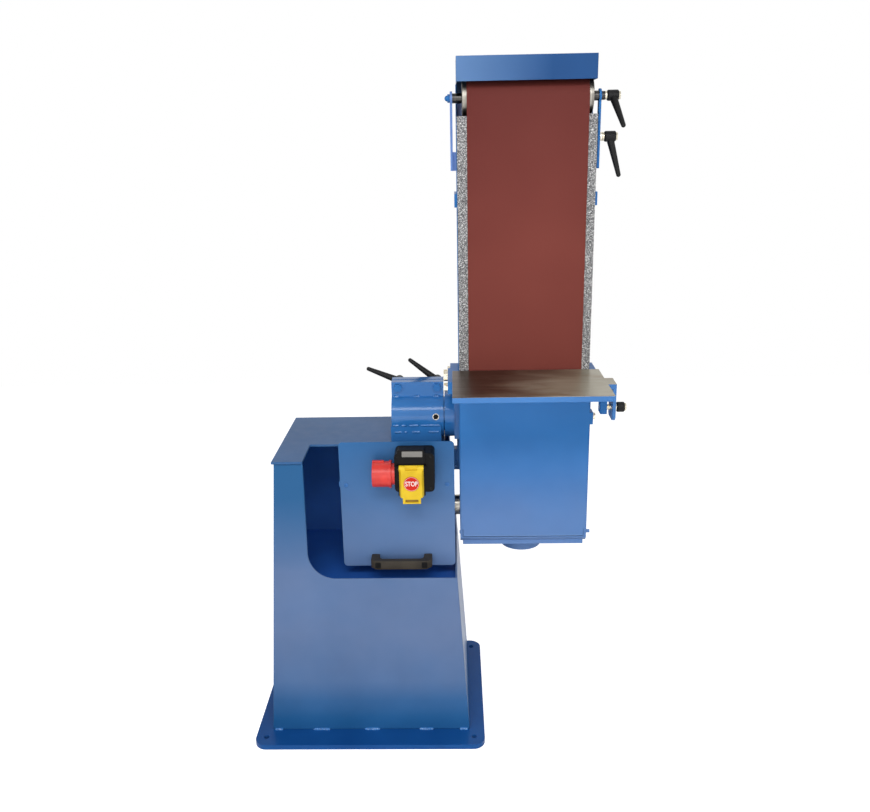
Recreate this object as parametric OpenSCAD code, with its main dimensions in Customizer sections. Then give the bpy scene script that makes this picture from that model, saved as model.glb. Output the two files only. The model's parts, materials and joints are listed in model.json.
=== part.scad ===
// Pedestal belt sander: a wide upright sanding arm that swings back on a split clamp tube.
// X points right, Y points to the back, Z points up. The origin is under the middle of the floor plate.

/* [Floor plate] */
// Width of the floor plate
base_w = 540; // [520:5:620]
// Depth of the floor plate
base_d = 440; // [430:5:520]
// Thickness of the floor plate
base_t = 12; // [8:1:20]
// Corner radius of the floor plate
base_corner_r = 28; // [5:1:40]
// Distance of the floor bolts from the side edges
floor_bolt_side = 25; // [20:1:26]
// Distance of the floor bolts from the front and back edges
floor_bolt_end = 30; // [24:1:40]
// Diameter of the floor bolt holes
floor_hole_d = 13; // [9:0.5:18]

/* [Pedestal] */
// Height of the pedestal's top face above the floor
ped_h = 684; // [660:2:760]
// Width of the pedestal at the floor plate
foot_w = 470; // [440:2:480]
// Width of the pedestal under the top plate
head_w = 385; // [370:1:420]
// Front wall at the floor plate, in front of the middle
foot_front = 163; // [150:1:180]
// Front wall under the top plate, in front of the middle
head_front = 132; // [125:1:145]
// Back wall at the floor plate, behind the middle
foot_back = 208; // [190:1:215]
// Back wall under the top plate, behind the middle
head_back = 183; // [150:1:200]
// Thickness of the pedestal walls
wall_t = 5; // [3:0.5:8]
// Thickness of the top plate
top_t = 6; // [4:0.5:10]
// Overhang of the top plate
top_lip = 5; // [0:0.5:8]
// Setback of the top plate's right edge in front of the right rear post
top_right_in = 8; // [0:0.5:10]
// Left edge of the motor opening, left of the middle
bay_left = 128; // [110:1:140]
// Lower edge of the motor opening below the top face
bay_sill_drop = 282; // [279:1:300]
// Radius of the motor opening's lower corner
bay_corner_r = 62; // [20:1:70]
// Motor bay's floor below the top face
bay_floor_drop = 314; // [306:2:380]
// Thickness of the motor bay's floor
bay_floor_t = 6; // [3:0.5:10]
// Back edge of the notch in the top plate, in front of the middle
notch_y = 24; // [23:0.5:40]
// Front edge of the right rear post, behind the middle
rear_post_y = 112; // [108:1:130]

/* [Swivel] */
// Swivel axis, behind the middle
swivel_back = 30; // [20:1:45]
// Left end of the clamp tube, right of the middle
tube_left = 63; // [55:1:70]
// Length of the clamp tube
tube_len = 120; // [100:1:126]
// Outer radius of the clamp tube and collar
tube_r = 54; // [50:0.5:60]
// Bore radius of the clamp tube
bore_r = 40; // [34:0.5:44]
// Width of the slit between the clamp ears
slit_w = 5; // [3:0.5:8]
// Thickness of one clamp ear
ear_t = 20; // [14:1:24]
// Height of the clamp ears above the swivel axis
ear_rise = 83; // [76:1:90]
// Height of the clamp bolts above the swivel axis
clamp_bolt_rise = 70; // [66:0.5:72]
// Distance of the clamp bolts from the tube ends
clamp_bolt_inset = 15; // [12:1:25]
// Diameter of the clamp bolts
clamp_bolt_d = 10; // [8:1:12]
// Distance of the set screw from the right end of the tube
set_screw_inset = 18; // [14:1:30]
// Radius of the set screw
set_screw_r = 7.5; // [5:0.5:9]
// Angle of the set screw above level
set_screw_angle = 9; // [0:1:20]
// Half depth of the saddle under the tube
saddle_half = 53; // [48:0.5:53]
// Height of the saddle
saddle_h = 42; // [30:1:44]
// Thickness of the saddle under the tube's lowest line
saddle_web = 2; // [1:0.5:4]
// Left end of the saddle, left of the tube
saddle_out = 2; // [0:0.5:6]
// Right end of the saddle, left of the tube's right end
saddle_in = 6; // [0:0.5:10]
// Seam between the tube and the turning collar
seam = 2; // [1:0.5:4]
// Length of the turning collar
collar_len = 22; // [15:1:30]
// Thickness of the swivel flange
flange_t = 11; // [8:1:24]
// Half height of the square swivel flange
flange_half = 48; // [44:1:50]

/* [Sanding arm] */
// Width over the side plates
arm_w = 292; // [286:1:320]
// Thickness of the side plates
side_t = 6; // [4:0.5:8]
// Back edge of the arm, behind the swivel axis
arm_back = 8; // [4:1:12]
// Thickness of the platen
platen_t = 8; // [5:0.5:12]
// Thickness of the graphite pad
pad_t = 3; // [2:0.5:5]
// Setback of the platen's edges from the side plates
platen_inset = 1.5; // [0:0.5:3]
// Top of the platen below the top roller's axis
platen_drop = 42; // [40:1:50]
// Height of the graphite pad's edge above the platen
pad_rise = 6; // [4:1:10]
// Lower end of the platen above the drum axis
platen_low = 94; // [70:1:110]

/* [Belt and rollers] */
// Width of the sanding belt
belt_w = 250; // [200:5:252]
// Middle of the belt, right of the arm's middle
belt_shift = 1.5; // [0:0.5:3]
// Thickness of the sanding belt
belt_t = 1.5; // [1:0.1:2.5]
// Running gap between the belt and what it passes over
belt_gap = 0.3; // [0.2:0.05:0.6]
// Face of the belt, in front of the swivel axis
belt_reach = 75; // [72:0.5:80]
// Radius of the drive drum over its rubber lagging
drum_r = 54; // [48:0.5:56]
// Thickness of the rubber lagging
lagging_t = 6; // [3:0.5:10]
// Wall of the drum shell
drum_wall = 6; // [4:0.5:10]
// Length of the drum
drum_w = 254; // [252:1:256]
// Drum axis below the swivel axis
drum_drop = 224; // [222:1:230]
// Radius of the top roller
roller_r = 35; // [32:0.5:40]
// Wall of the top roller
roller_wall = 8; // [6:0.5:10]
// Length of the top roller
roller_w = 269; // [254:1:269]
// Distance between the drum and roller axes
roller_centres = 920; // [860:5:960]
// Radius of the roller shaft and of the drum's stub axle
axle_r = 10; // [8:0.5:12]
// Outer radius of the ball bearings
bearing_r = 21; // [18:0.5:22]
// Width of the ball bearings
bearing_w = 12; // [8:1:14]

/* [Belt tension] */
// Thickness of the flat roller brackets
bracket_t = 5; // [4:0.5:8]
// Width of the brackets' round heads
bracket_w = 28; // [26:1:34]
// Width of the brackets below their heads
shank_w = 18; // [14:1:24]
// Length of the roller brackets below the roller axis
bracket_len = 145; // [140:1:170]
// Space between the left bracket and its side plate
left_space = 7; // [6:0.5:12]
// Space between the right bracket and its side plate
right_space = 3.5; // [3:0.5:14]
// Height of the slide pads at the bracket ends
slide_pad_h = 38; // [16:1:40]
// Setback of the slide pads from the brackets' front edges
slide_pad_in = 5; // [0:0.5:8]
// Tension stud below the roller axis
tension_stud_drop = 81; // [76:1:95]
// Travel of the roller when the belt is slackened
tension_travel = 15; // [8:1:18]
// Radius of the tension stud
tension_stud_r = 4; // [3:0.5:5]

/* [Table] */
// Height of the table top above the swivel axis
table_rise = 123; // [118:1:130]
// Thickness of the table plate
table_t = 12; // [8:1:18]
// Depth of the table
table_d = 212; // [190:1:240]
// Gap between the table and the belt
table_belt_gap = 3; // [2:0.5:6]
// Left edge of the table, left of the arm
table_left = 14; // [12:1:30]
// Right edge of the table, right of the arm
table_right = 18; // [16:1:24]
// Table pivot in front of the belt face
table_pivot_y = 104; // [96:1:110]
// Table pivot below the table top
table_pivot_drop = 57; // [50:1:62]
// Radius of the table stud
table_stud_r = 6; // [5:0.5:8]
// Half depth of the table lug
lug_half = 25; // [20:1:28]
// Lower edge of the table lug below its pivot
lug_low = 24; // [14:1:26]
// Corner cut of the table lug
lug_cut = 6; // [2:0.5:10]
// Thickness of the table lug
lug_t = 7; // [4:0.5:12]
// Space between the table lug and the pivot bar
lug_space = 9.5; // [8:0.5:12]
// Thickness of the right pivot bar
pivot_bar_t = 14; // [8:1:16]
// Height of the right pivot bar
pivot_bar_h = 22; // [16:1:30]
// Half depth of the pivot bar's end block
pivot_block = 14; // [10:1:18]
// Lower edge of the end block below the pivot
pivot_block_low = 12; // [10:1:18]
// Space between the right pivot bar and its side plate
pivot_bar_space = 5.5; // [4:0.5:14]
// Thickness of the left rest bar
rest_bar_t = 12; // [8:1:14]
// Space between the left rest bar and its side plate
rest_bar_space = 12; // [9:0.5:16]
// Height of the left rest bar
rest_bar_h = 27; // [18:1:30]
// Front end of the left rest bar, in front of the cover
rest_bar_front = 29; // [20:1:40]
// Step of the left rest bar, in front of the swivel axis
rest_bar_step = 5; // [0:1:10]
// Depth of that step
rest_step_d = 5; // [3:0.5:8]
// Back end of the left rest bar, behind the swivel axis
rest_bar_back = 41; // [20:1:44]

/* [Lower housing] */
// Face of the front cover, in front of the swivel axis
cover_reach = 100; // [99:1:112]
// Thickness of the cover and pan sheets
sheet_t = 2; // [1.5:0.5:3]
// Lower edge of the front cover below the drum axis
cover_drop = 44; // [40:1:50]
// Gap between the cover's upper edge and the table
cover_top_gap = 6; // [4:0.5:10]
// Setback of the cover's edges from the side plates
cover_inset = 2; // [0.5:0.5:4]
// Gap between the cover's lower edge and the pan
pan_gap = 4.5; // [4:0.5:10]
// Slope of the pan's front edge, in depth and height
pan_slope = 10; // [6:1:14]
// Height of the lip under the pan
pan_lip = 10.5; // [4:0.5:14]
// Back of the housing, behind the swivel axis
housing_back = 70; // [66:1:80]
// Start of the rear slope of the side plates above the swivel axis
shoulder_rise = 40; // [20:1:44]
// Height of that slope
shoulder_h = 100; // [60:2:110]
// Radius of the cover's hinge pin
hinge_pin_r = 4; // [3:0.5:4.5]
// Hinge pin behind the cover's face
hinge_inset = 8; // [7.5:0.5:9]
// Hinge pin above the cover's lower edge
hinge_rise = 6; // [5:0.5:8]
// Outer radius of the dust spigot
spigot_r = 48; // [40:1:55]
// Wall of the dust spigot
spigot_wall = 2; // [1.5:0.5:4]
// Length of the dust spigot
spigot_len = 46; // [30:1:60]
// Latch screw above the swivel axis
latch_rise = 15; // [0:1:30]

/* [Rear guard and hood] */
// Thickness of the guard and hood sheets
guard_t = 2; // [1.5:0.5:3]
// Inner face of the guard, behind the swivel axis
guard_back = 42; // [36:1:50]
// Fixing straps below the roller axis
tab_drop = 206; // [190:1:260]
// Thickness of the fixing straps
tab_t = 5; // [3:0.5:8]
// Height of the fixing straps
tab_h = 28; // [20:1:40]
// Width of the hood
hood_w = 284; // [282:1:290]
// Left edge of the hood, right of the arm's left face
hood_in = 1; // [0:0.5:3]
// Top of the hood above the roller axis
hood_rise = 78; // [66:1:90]
// Height of the hood's front
hood_h = 48; // [40:1:60]
// Front of the hood, in front of the belt face
hood_front = 15; // [8:1:24]

/* [Motor] */
// Height of the motor shaft below the carrier plate
shaft_h = 84; // [80:1:90]
// Radius over the cooling fins
motor_r = 78; // [70:0.5:79]
// Height of the cooling fins
fin_h = 8; // [5:0.5:10]
// Number of cooling fins
fin_count = 36; // [24:2:44]
// Length of the finned housing
motor_len = 150; // [130:1:152]
// Radius of the motor shaft
motor_shaft_r = 12; // [9.5:0.5:14]
// Radius of the drum's hub sleeve
sleeve_r = 24; // [18:0.5:26]
// Gap between the motor and the left side plate
motor_gap = 30; // [24:1:40]
// Length of the fan cowl
cowl_len = 50; // [40:1:52]
// Distance of the motor feet from the shaft
motor_foot_y = 58; // [50:1:64]
// Length of the terminal box
terminal_w = 84; // [70:1:96]
// Height of the terminal box
terminal_h = 30; // [20:1:40]
// Thickness of the carrier plate
carrier_t = 12; // [10:1:20]
// Front of the carrier's neck, in front of the swivel axis
neck_reach = 5; // [0:1:20]
// Height of the carrier beam
beam_h = 30; // [20:1:34]
// Front of the carrier beam, behind the swivel axis
beam_back = 23; // [18:1:30]
// Depth of the carrier beam
beam_d = 26; // [20:1:40]
// Thickness of the carrier's end plate
end_plate_t = 5; // [4:0.5:8]

/* [Switch panel] */
// Face of the panel, in front of the swivel axis
panel_reach = 108.5; // [106:0.5:112]
// Thickness of the panel
panel_t = 3; // [2:0.5:4]
// Width of the panel
panel_w = 261; // [250:1:275]
// Height of the panel
panel_h = 307; // [280:1:312]
// Upper edge of the panel below the swivel axis
panel_drop = 32; // [28:1:36]
// Gap between the panel and the left side plate
panel_gap = 12; // [10:1:24]
// Corner radius of the panel
panel_corner_r = 9; // [3:1:20]
// Width of the switch box
box_w = 88; // [80:1:96]
// Height of the switch box
box_h = 91; // [90:1:104]
// Depth of the switch box
box_d = 52; // [50:1:60]
// Right edge of the switch box from the panel's right edge
box_inset = 44; // [36:1:52]
// Upper edge of the switch box below the panel's upper edge
box_drop = 9; // [6:1:16]
// Height of the label frame above the switch box
bezel_rise = 9; // [4:0.5:12]
// Middle of the flap, left of the switch box's middle
flap_shift = 6.5; // [0:0.5:10]
// Flap hinge below the switch box's upper edge
flap_hinge_drop = 32; // [28:1:34]
// Width of the flap
flap_w = 54; // [48:1:60]
// Slant of the flap's sides, in width
flap_slant = 4; // [1:0.5:5]
// Depth of the flap
flap_d = 13; // [12:0.5:16]
// Wall of the flap
flap_wall = 2; // [1.5:0.5:2.5]
// Height of the flap down from its hinge
flap_h = 82; // [80:1:86]
// Radius of the stop disc
disc_r = 17; // [12:0.5:20]
// Middle of the stop disc below the flap hinge
disc_drop = 34.5; // [30:0.5:40]
// Travel of the buttons
button_travel = 4; // [2:0.5:5]
// Radius of the inlet shroud
inlet_r = 29; // [25:0.5:30]
// Length of the inlet from the switch box
inlet_len = 50; // [40:1:60]
// Axis of the inlet below the switch box's upper edge
inlet_drop = 55; // [45:1:60]
// Length of the panel handle
handle_len = 141; // [120:1:160]
// Left end of the panel handle, left of the switch box
handle_out = 63; // [40:1:70]
// Reach of the panel handle
handle_reach = 40; // [34:1:42]
// Height of the panel handle's bar
handle_h = 21; // [16:1:24]

/* [Clamp levers] */
// Length of a lever from its axis
lever_len = 83; // [63:1:90]
// Radius of a lever hub
lever_hub_r = 11; // [9.5:0.5:12]
// Height of a lever hub
lever_hub_h = 29; // [26:1:34]
// Outward rise of a lever's tip
lever_rise = 20; // [10:1:26]
// Outward rise of the roller lever's tip
roller_rise = 14; // [8:1:20]
// Radius of a lever's arm at its hub
lever_root_r = 8; // [6:0.2:9]
// Radius of a lever's arm at its tip
lever_tip_r = 4.8; // [4:0.2:6]
// Height of the table lever's hub
low_hub_h = 22; // [20:1:30]
// Outward rise of the table lever's tip
low_rise = 8; // [4:1:20]

/* [Clearances] */
// Radial clearance of turning fits
run_fit = 0.05; // [0.02:0.01:0.1]
// Gap between faces that slide past each other
slide_gap = 0.3; // [0.1:0.05:0.5]

/* [Hidden] */
$fn = 64;
over = 1;
blue = [0.20, 0.42, 0.68];
dark_blue = [0.13, 0.29, 0.52];
steel = [0.62, 0.62, 0.60];
zinc = [0.80, 0.74, 0.52];
black = [0.10, 0.10, 0.11];

floor_bolt_x = base_w - 2 * floor_bolt_side;
floor_bolt_y = base_d - 2 * floor_bolt_end;
wall_top = ped_h - top_t;
bay_sill_z = ped_h - bay_sill_drop;
bay_floor_z = ped_h - bay_floor_drop;
swivel_y = swivel_back;
swivel_z = ped_h + saddle_web + tube_r;
tube_right = tube_left + tube_len;
collar_x = tube_right + seam;
flange_x = collar_x + collar_len;
ear_front_y = swivel_y - slit_w / 2 - ear_t;
ear_back_y = swivel_y + slit_w / 2 + ear_t;
clamp_bolt_z = swivel_z + clamp_bolt_rise;
clamp_bolt_xs = [tube_left + clamp_bolt_inset, tube_right - clamp_bolt_inset];
bolt_head_h = 6.5;
set_screw_x = tube_right - set_screw_inset;
set_tip_r = 4;
groove_r = bore_r - 4;

arm_left = flange_x + flange_t;
arm_right = arm_left + arm_w;
arm_mid = arm_left + arm_w / 2;
in_left = arm_left + side_t;
in_right = arm_right - side_t;
arm_back_y = swivel_y + arm_back;
belt_mid = arm_mid + belt_shift;

belt_y = swivel_y - belt_reach;
pad_y = belt_y + belt_t + belt_gap;
platen_y = pad_y + pad_t;
platen_back_y = platen_y + platen_t;
drum_y = pad_y + drum_r;
drum_z = swivel_z - drum_drop;
roller_y = pad_y + roller_r;
roller_z = drum_z + roller_centres;
drum_left = belt_mid - drum_w / 2;
drum_right = belt_mid + drum_w / 2;
drum_web = 14;
roller_left = belt_mid - roller_w / 2;
roller_right = belt_mid + roller_w / 2;
platen_top = roller_z - platen_drop;

table_z = swivel_z + table_rise;
table_under = table_z - table_t;
bar_top = table_under - slide_gap;
table_back_y = belt_y - table_belt_gap;
table_front_y = table_back_y - table_d;
pivot_y = belt_y - table_pivot_y;
pivot_z = table_z - table_pivot_drop;
pivot_bar_x = arm_right + pivot_bar_space;
lug_x = pivot_bar_x + pivot_bar_t + lug_space;
rest_bar_x = arm_left - rest_bar_space - rest_bar_t;
rest_step_x = rest_bar_x + rest_step_d;
rest_bolt_z = bar_top - rest_bar_h / 2;
rest_bolt_r = 5;
rest_bolt_flats = 17;
main_bolt_r = 8;
main_bolt_flats = 24;

cover_y = swivel_y - cover_reach;
cover_seat_y = cover_y + sheet_t + slide_gap;
cover_low = drum_z - cover_drop;
cover_top = table_under - cover_top_gap;
housing_back_y = swivel_y + housing_back;
hinge_y = cover_y + hinge_inset;
hinge_z = cover_low + hinge_rise;
knuckle_r = hinge_inset - sheet_t + 0.5;
pan_t = sheet_t + 1;
pan_slope_z = cover_low - pan_gap;
pan_z = pan_slope_z - pan_slope;
housing_low = pan_z - pan_t;
shoulder_z = swivel_z + shoulder_rise;
spigot_y = swivel_y;
latch_z = swivel_z + latch_rise;
latch_y = cover_y + 20;
latch_r = 4;
lug_plate_t = 6;

guard_y = swivel_y + guard_back;
guard_back_y = guard_y + guard_t;
guard_low = shoulder_z + shoulder_h * (housing_back_y - guard_back_y) / (housing_back_y - arm_back_y);
guard_top = roller_z + hood_rise - hood_h;
tab_z = roller_z - tab_drop;

bracket_left = arm_left - left_space - bracket_t;
bracket_right = arm_right + right_space;
tension_z = roller_z - tension_stud_drop;

panel_y = swivel_y - panel_reach;
panel_back_y = panel_y + panel_t;
panel_right = arm_left - panel_gap;
panel_left = panel_right - panel_w;
panel_top = swivel_z - panel_drop;
panel_low = panel_top - panel_h;
box_right = panel_right - box_inset;
box_left = box_right - box_w;
box_mid = (box_left + box_right) / 2;
box_top = panel_top - box_drop;
box_low = box_top - box_h;
box_face = panel_y - box_d;
flap_x = box_mid - flap_shift;
flap_hinge_z = box_top - flap_hinge_drop;
flap_hinge_y = box_face - slide_gap - flap_d / 2;
flap_low = flap_hinge_z - flap_h;
flap_cup_low = flap_low + 14;
flap_top = flap_hinge_z + flap_d / 2;
flap_face = box_face - slide_gap - flap_d;
trunnion_r = 2.5;
disc_z = flap_hinge_z - disc_drop;
button_half = 9;
button_zs = [flap_hinge_z - 21, flap_hinge_z - 43];
inlet_y = panel_y - inlet_r - 3.5;
inlet_z = box_top - inlet_drop;
inlet_left = box_left - inlet_len;
inlet_wall = 3.5;
handle_left = box_left - handle_out;
handle_z = panel_low + 10;

carrier_z = drum_z + shaft_h;
beam_z = carrier_z + carrier_t;
beam_y = swivel_y + beam_back;
neck_y = swivel_y - neck_reach;
motor_face = arm_left - motor_gap;
shield_t = 18;
boss_t = 8;
motor_right = motor_face - boss_t - shield_t;
motor_left = motor_right - motor_len;
core_r = motor_r - fin_h;
rear_shield_t = 12;
cowl_left = motor_left - rear_shield_t - cowl_len;
carrier_left = cowl_left - 8;
terminal_half = 36;

lever_seat = 7;
lever_cap = 9;
lever_bore = lever_hub_h - lever_cap;
low_bore = low_hub_h - lever_cap;

// Place, seat, depth, shank radius, size over flats and head height of each bolt of the rest bar.
rest_bolts = [
    [cover_y - rest_bar_front + 11, rest_bar_x, rest_bar_t, rest_bolt_r, rest_bolt_flats, 8],
    [swivel_y - 20, rest_bar_x, arm_left - rest_bar_x, main_bolt_r, main_bolt_flats, 10],
    [swivel_y + 26, rest_step_x, arm_left - rest_step_x, rest_bolt_r, rest_bolt_flats, bolt_head_h]
];

// Extrudes a side view, drawn as Y and Z, along X.
module x_prism(x0, len) {
    translate([x0, 0, 0]) rotate([90, 0, 90]) linear_extrude(len) children();
}

// Extrudes a front view, drawn as X and Z, along Y.
module y_prism(y0, len) {
    translate([0, y0 + len, 0]) rotate([90, 0, 0]) linear_extrude(len) children();
}

module x_rod(x0, len, r, y, z) {
    translate([x0, y, z]) rotate([0, 90, 0]) cylinder(r = r, h = len);
}

module y_rod(y0, len, r, x, z) {
    translate([x, y0, z]) rotate([-90, 0, 0]) cylinder(r = r, h = len);
}

module block(x0, x1, y0, y1, z0, z1) {
    translate([x0, y0, z0]) cube([x1 - x0, y1 - y0, z1 - z0]);
}

module hexagon(flats, h) {
    cylinder(d = flats / cos(30), h = h, $fn = 6);
}

module rectangle(x0, x1, y0, y1) {
    translate([x0, y0]) square([x1 - x0, y1 - y0]);
}

module round_rectangle(x0, x1, y0, y1, r) {
    rectangle(x0 + r, x1 - r, y0, y1);
    rectangle(x0, x1, y0 + r, y1 - r);
    for (x = [x0 + r, x1 - r], y = [y0 + r, y1 - r])
        translate([x, y]) circle(r);
}

// Quarter plane to the upper right of a rounded corner.
module corner_opening(x0, y0, r, w, h) {
    rectangle(x0 + r, x0 + w, y0, y0 + h);
    rectangle(x0, x0 + w, y0 + r, y0 + h);
    translate([x0 + r, y0 + r]) circle(r);
}

// Front view of the pedestal's tapered body, drawn in by inset.
module pedestal_face(inset) {
    polygon([
        [-foot_w / 2 + inset, base_t], [foot_w / 2 - inset, base_t],
        [head_w / 2 - inset, wall_top], [-head_w / 2 + inset, wall_top]
    ]);
}

// Side view of the pedestal's tapered body, drawn in by inset.
module pedestal_profile(inset) {
    polygon([
        [-foot_front + inset, base_t], [foot_back - inset, base_t],
        [head_back - inset, wall_top], [-head_front + inset, wall_top]
    ]);
}

// Part of the tapered body inside the front view and the side view given as children.
module pedestal_piece() {
    intersection() {
        y_prism(-foot_front - over, foot_front + foot_back + 2 * over) children(0);
        x_prism(-foot_w / 2 - over, foot_w + 2 * over) children(1);
    }
}

module base_plate() {
    color(blue) linear_extrude(base_t) difference() {
        round_rectangle(-base_w / 2, base_w / 2, -base_d / 2, base_d / 2, base_corner_r);
        for (x = [-1, 1], y = [-1, 1])
            translate([x * floor_bolt_x / 2, y * floor_bolt_y / 2]) circle(d = floor_hole_d);
    }
}

module pedestal_front() {
    color(blue) pedestal_piece() {
        difference() {
            pedestal_face(0);
            corner_opening(-bay_left, bay_sill_z, bay_corner_r, foot_w, ped_h);
        }
        polygon([
            [-foot_front, base_t], [-foot_front + wall_t, base_t],
            [-head_front + wall_t, wall_top], [-head_front, wall_top]
        ]);
    }
}

module pedestal_back_wall() {
    color(blue) pedestal_piece() {
        pedestal_face(0);
        polygon([
            [foot_back - wall_t, base_t], [foot_back, base_t],
            [head_back, wall_top], [head_back - wall_t, wall_top]
        ]);
    }
}

module pedestal_left_wall() {
    color(blue) pedestal_piece() {
        difference() {
            pedestal_face(0);
            translate([wall_t, 0]) pedestal_face(0);
        }
        pedestal_profile(wall_t);
    }
}

module pedestal_right_wall() {
    color(blue) pedestal_piece() {
        difference() {
            pedestal_face(0);
            translate([-wall_t, 0]) pedestal_face(0);
        }
        difference() {
            pedestal_profile(wall_t);
            mirror([1, 0]) corner_opening(-rear_post_y, bay_sill_z, bay_corner_r / 2, foot_front * 2, ped_h);
        }
    }
}

module pedestal_top() {
    lip_x = head_w / 2 + top_lip;
    color(blue) translate([0, 0, wall_top]) linear_extrude(top_t) difference() {
        rectangle(-lip_x, lip_x, -head_front - top_lip, head_back + top_lip);
        rectangle(-bay_left, lip_x + over, -head_front - top_lip - over, -notch_y);
        rectangle(head_w / 2 - top_right_in, lip_x + over, -notch_y - over, rear_post_y);
    }
}

module motor_bay_floor() {
    color(blue) intersection() {
        pedestal_piece() {
            pedestal_face(wall_t);
            pedestal_profile(wall_t);
        }
        block(-foot_w, foot_w, -foot_front, foot_back, bay_floor_z - bay_floor_t, bay_floor_z);
    }
}

module swivel_saddle() {
    color(blue) difference() {
        block(tube_left - saddle_out, tube_right - saddle_in, swivel_y - saddle_half, swivel_y + saddle_half,
            ped_h, ped_h + saddle_h);
        x_rod(tube_left - saddle_out - over, tube_len + saddle_out + over, tube_r, swivel_y, swivel_z);
    }
}

// Radial hole or pin of the set screw, between two radii of the clamp tube.
module set_screw_rod(r, from, to) {
    translate([set_screw_x, swivel_y, swivel_z]) rotate([90 - set_screw_angle, 0, 0])
        translate([0, 0, from]) cylinder(r = r, h = to - from);
}

module swivel_clamp_tube() {
    color(blue) difference() {
        x_prism(tube_left, tube_len) translate([swivel_y, swivel_z]) difference() {
            union() {
                circle(tube_r);
                rectangle(-slit_w / 2 - ear_t, slit_w / 2 + ear_t, 0, ear_rise);
            }
            circle(bore_r);
            rectangle(-slit_w / 2, slit_w / 2, 0, ear_rise + over);
        }
        for (x = clamp_bolt_xs)
            y_rod(ear_front_y - over, ear_back_y - ear_front_y + 2 * over, clamp_bolt_d / 2, x, clamp_bolt_z);
        set_screw_rod(set_screw_r, bore_r - over, tube_r + over);
    }
}

module clamp_bolts() {
    color(blue) for (x = clamp_bolt_xs) {
        translate([x, ear_front_y, clamp_bolt_z]) rotate([90, 0, 0]) hexagon(clamp_bolt_d * 1.7, bolt_head_h);
        y_rod(ear_front_y, ear_back_y - ear_front_y + slide_gap + lever_bore - over, clamp_bolt_d / 2,
            x, clamp_bolt_z);
    }
}

module tube_set_screw() {
    color(steel) difference() {
        union() {
            set_screw_rod(set_screw_r, bore_r + slide_gap, tube_r + 1);
            set_screw_rod(set_tip_r, groove_r + slide_gap, bore_r + slide_gap + over);
        }
        translate([set_screw_x, swivel_y, swivel_z]) rotate([90 - set_screw_angle, 0, 0])
            translate([0, 0, tube_r - 11]) hexagon(set_screw_r * 1.5, 14);
    }
}

// Clamp lever: its axis is Z, it seats at the origin and its arm points along X.
module lever(stud_r, hub_h, rise) {
    color(black) difference() {
        union() {
            rotate_extrude() polygon([
                [0, 0], [lever_hub_r - 2.5, 0], [lever_hub_r - 2.5, lever_seat - 3],
                [lever_hub_r, lever_seat],
                [lever_hub_r, hub_h - 2], [lever_hub_r - 2, hub_h], [0, hub_h]
            ]);
            hull() {
                translate([lever_hub_r - 4, 0, hub_h * 0.62]) rotate([0, 90, 0])
                    cylinder(r = lever_root_r, h = 1, $fn = 24);
                translate([lever_len - lever_tip_r, 0, hub_h * 0.62 + rise])
                    sphere(r = lever_tip_r, $fn = 24);
            }
        }
        translate([0, 0, -over]) cylinder(r = stud_r + run_fit, h = hub_h - lever_cap + over);
    }
}

module clamp_lever(x, angle) {
    translate([x, ear_back_y + slide_gap, clamp_bolt_z]) rotate([0, angle, 0]) rotate([-90, 0, 0])
        lever(clamp_bolt_d / 2, lever_hub_h, lever_rise);
}

module clamp_lever_left() {
    clamp_lever(clamp_bolt_xs[0], 198);
}

module clamp_lever_right() {
    clamp_lever(clamp_bolt_xs[1], 214.5);
}

// Lever on an axis along X, with its arm turned by angle from straight down to the back.
module side_lever(x, y, z, angle, stud_r, hub_h, rise) {
    translate([x, y, z]) rotate([angle, 0, 0]) rotate([0, 90, 0]) lever(stud_r, hub_h, rise);
}

module swivel_spindle() {
    color(blue) {
        difference() {
            x_rod(tube_left, tube_len + seam + over, bore_r - run_fit, swivel_y, swivel_z);
            difference() {
                x_rod(set_screw_x - 6, 12, bore_r + over, swivel_y, swivel_z);
                x_rod(set_screw_x - 7, 14, groove_r, swivel_y, swivel_z);
            }
        }
        x_rod(collar_x, collar_len + over, tube_r, swivel_y, swivel_z);
        block(flange_x, arm_left, swivel_y - flange_half, swivel_y + flange_half, swivel_z - flange_half,
            swivel_z + flange_half);
    }
}

// Side view of the plates that carry the arm and close the lower housing.
module side_plate_view() {
    polygon([
        [cover_seat_y, pan_slope_z - pan_t], [cover_seat_y + pan_slope, housing_low],
        [housing_back_y, housing_low], [housing_back_y, shoulder_z],
        [arm_back_y, shoulder_z + shoulder_h], [arm_back_y, platen_top], [platen_back_y, platen_top],
        [platen_back_y, bar_top], [cover_seat_y, bar_top]
    ]);
}

module side_plate_left() {
    color(blue) x_prism(arm_left, side_t) difference() {
        side_plate_view();
        translate([drum_y, drum_z]) circle(sleeve_r + 3);
        translate([hinge_y, hinge_z]) circle(hinge_pin_r);
    }
}

module side_plate_right() {
    color(blue) x_prism(in_right, side_t) difference() {
        side_plate_view();
        translate([hinge_y, hinge_z]) circle(hinge_pin_r);
        translate([latch_y, latch_z]) circle(latch_r + run_fit);
        translate([roller_y, tension_z]) circle(tension_stud_r);
    }
}

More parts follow.
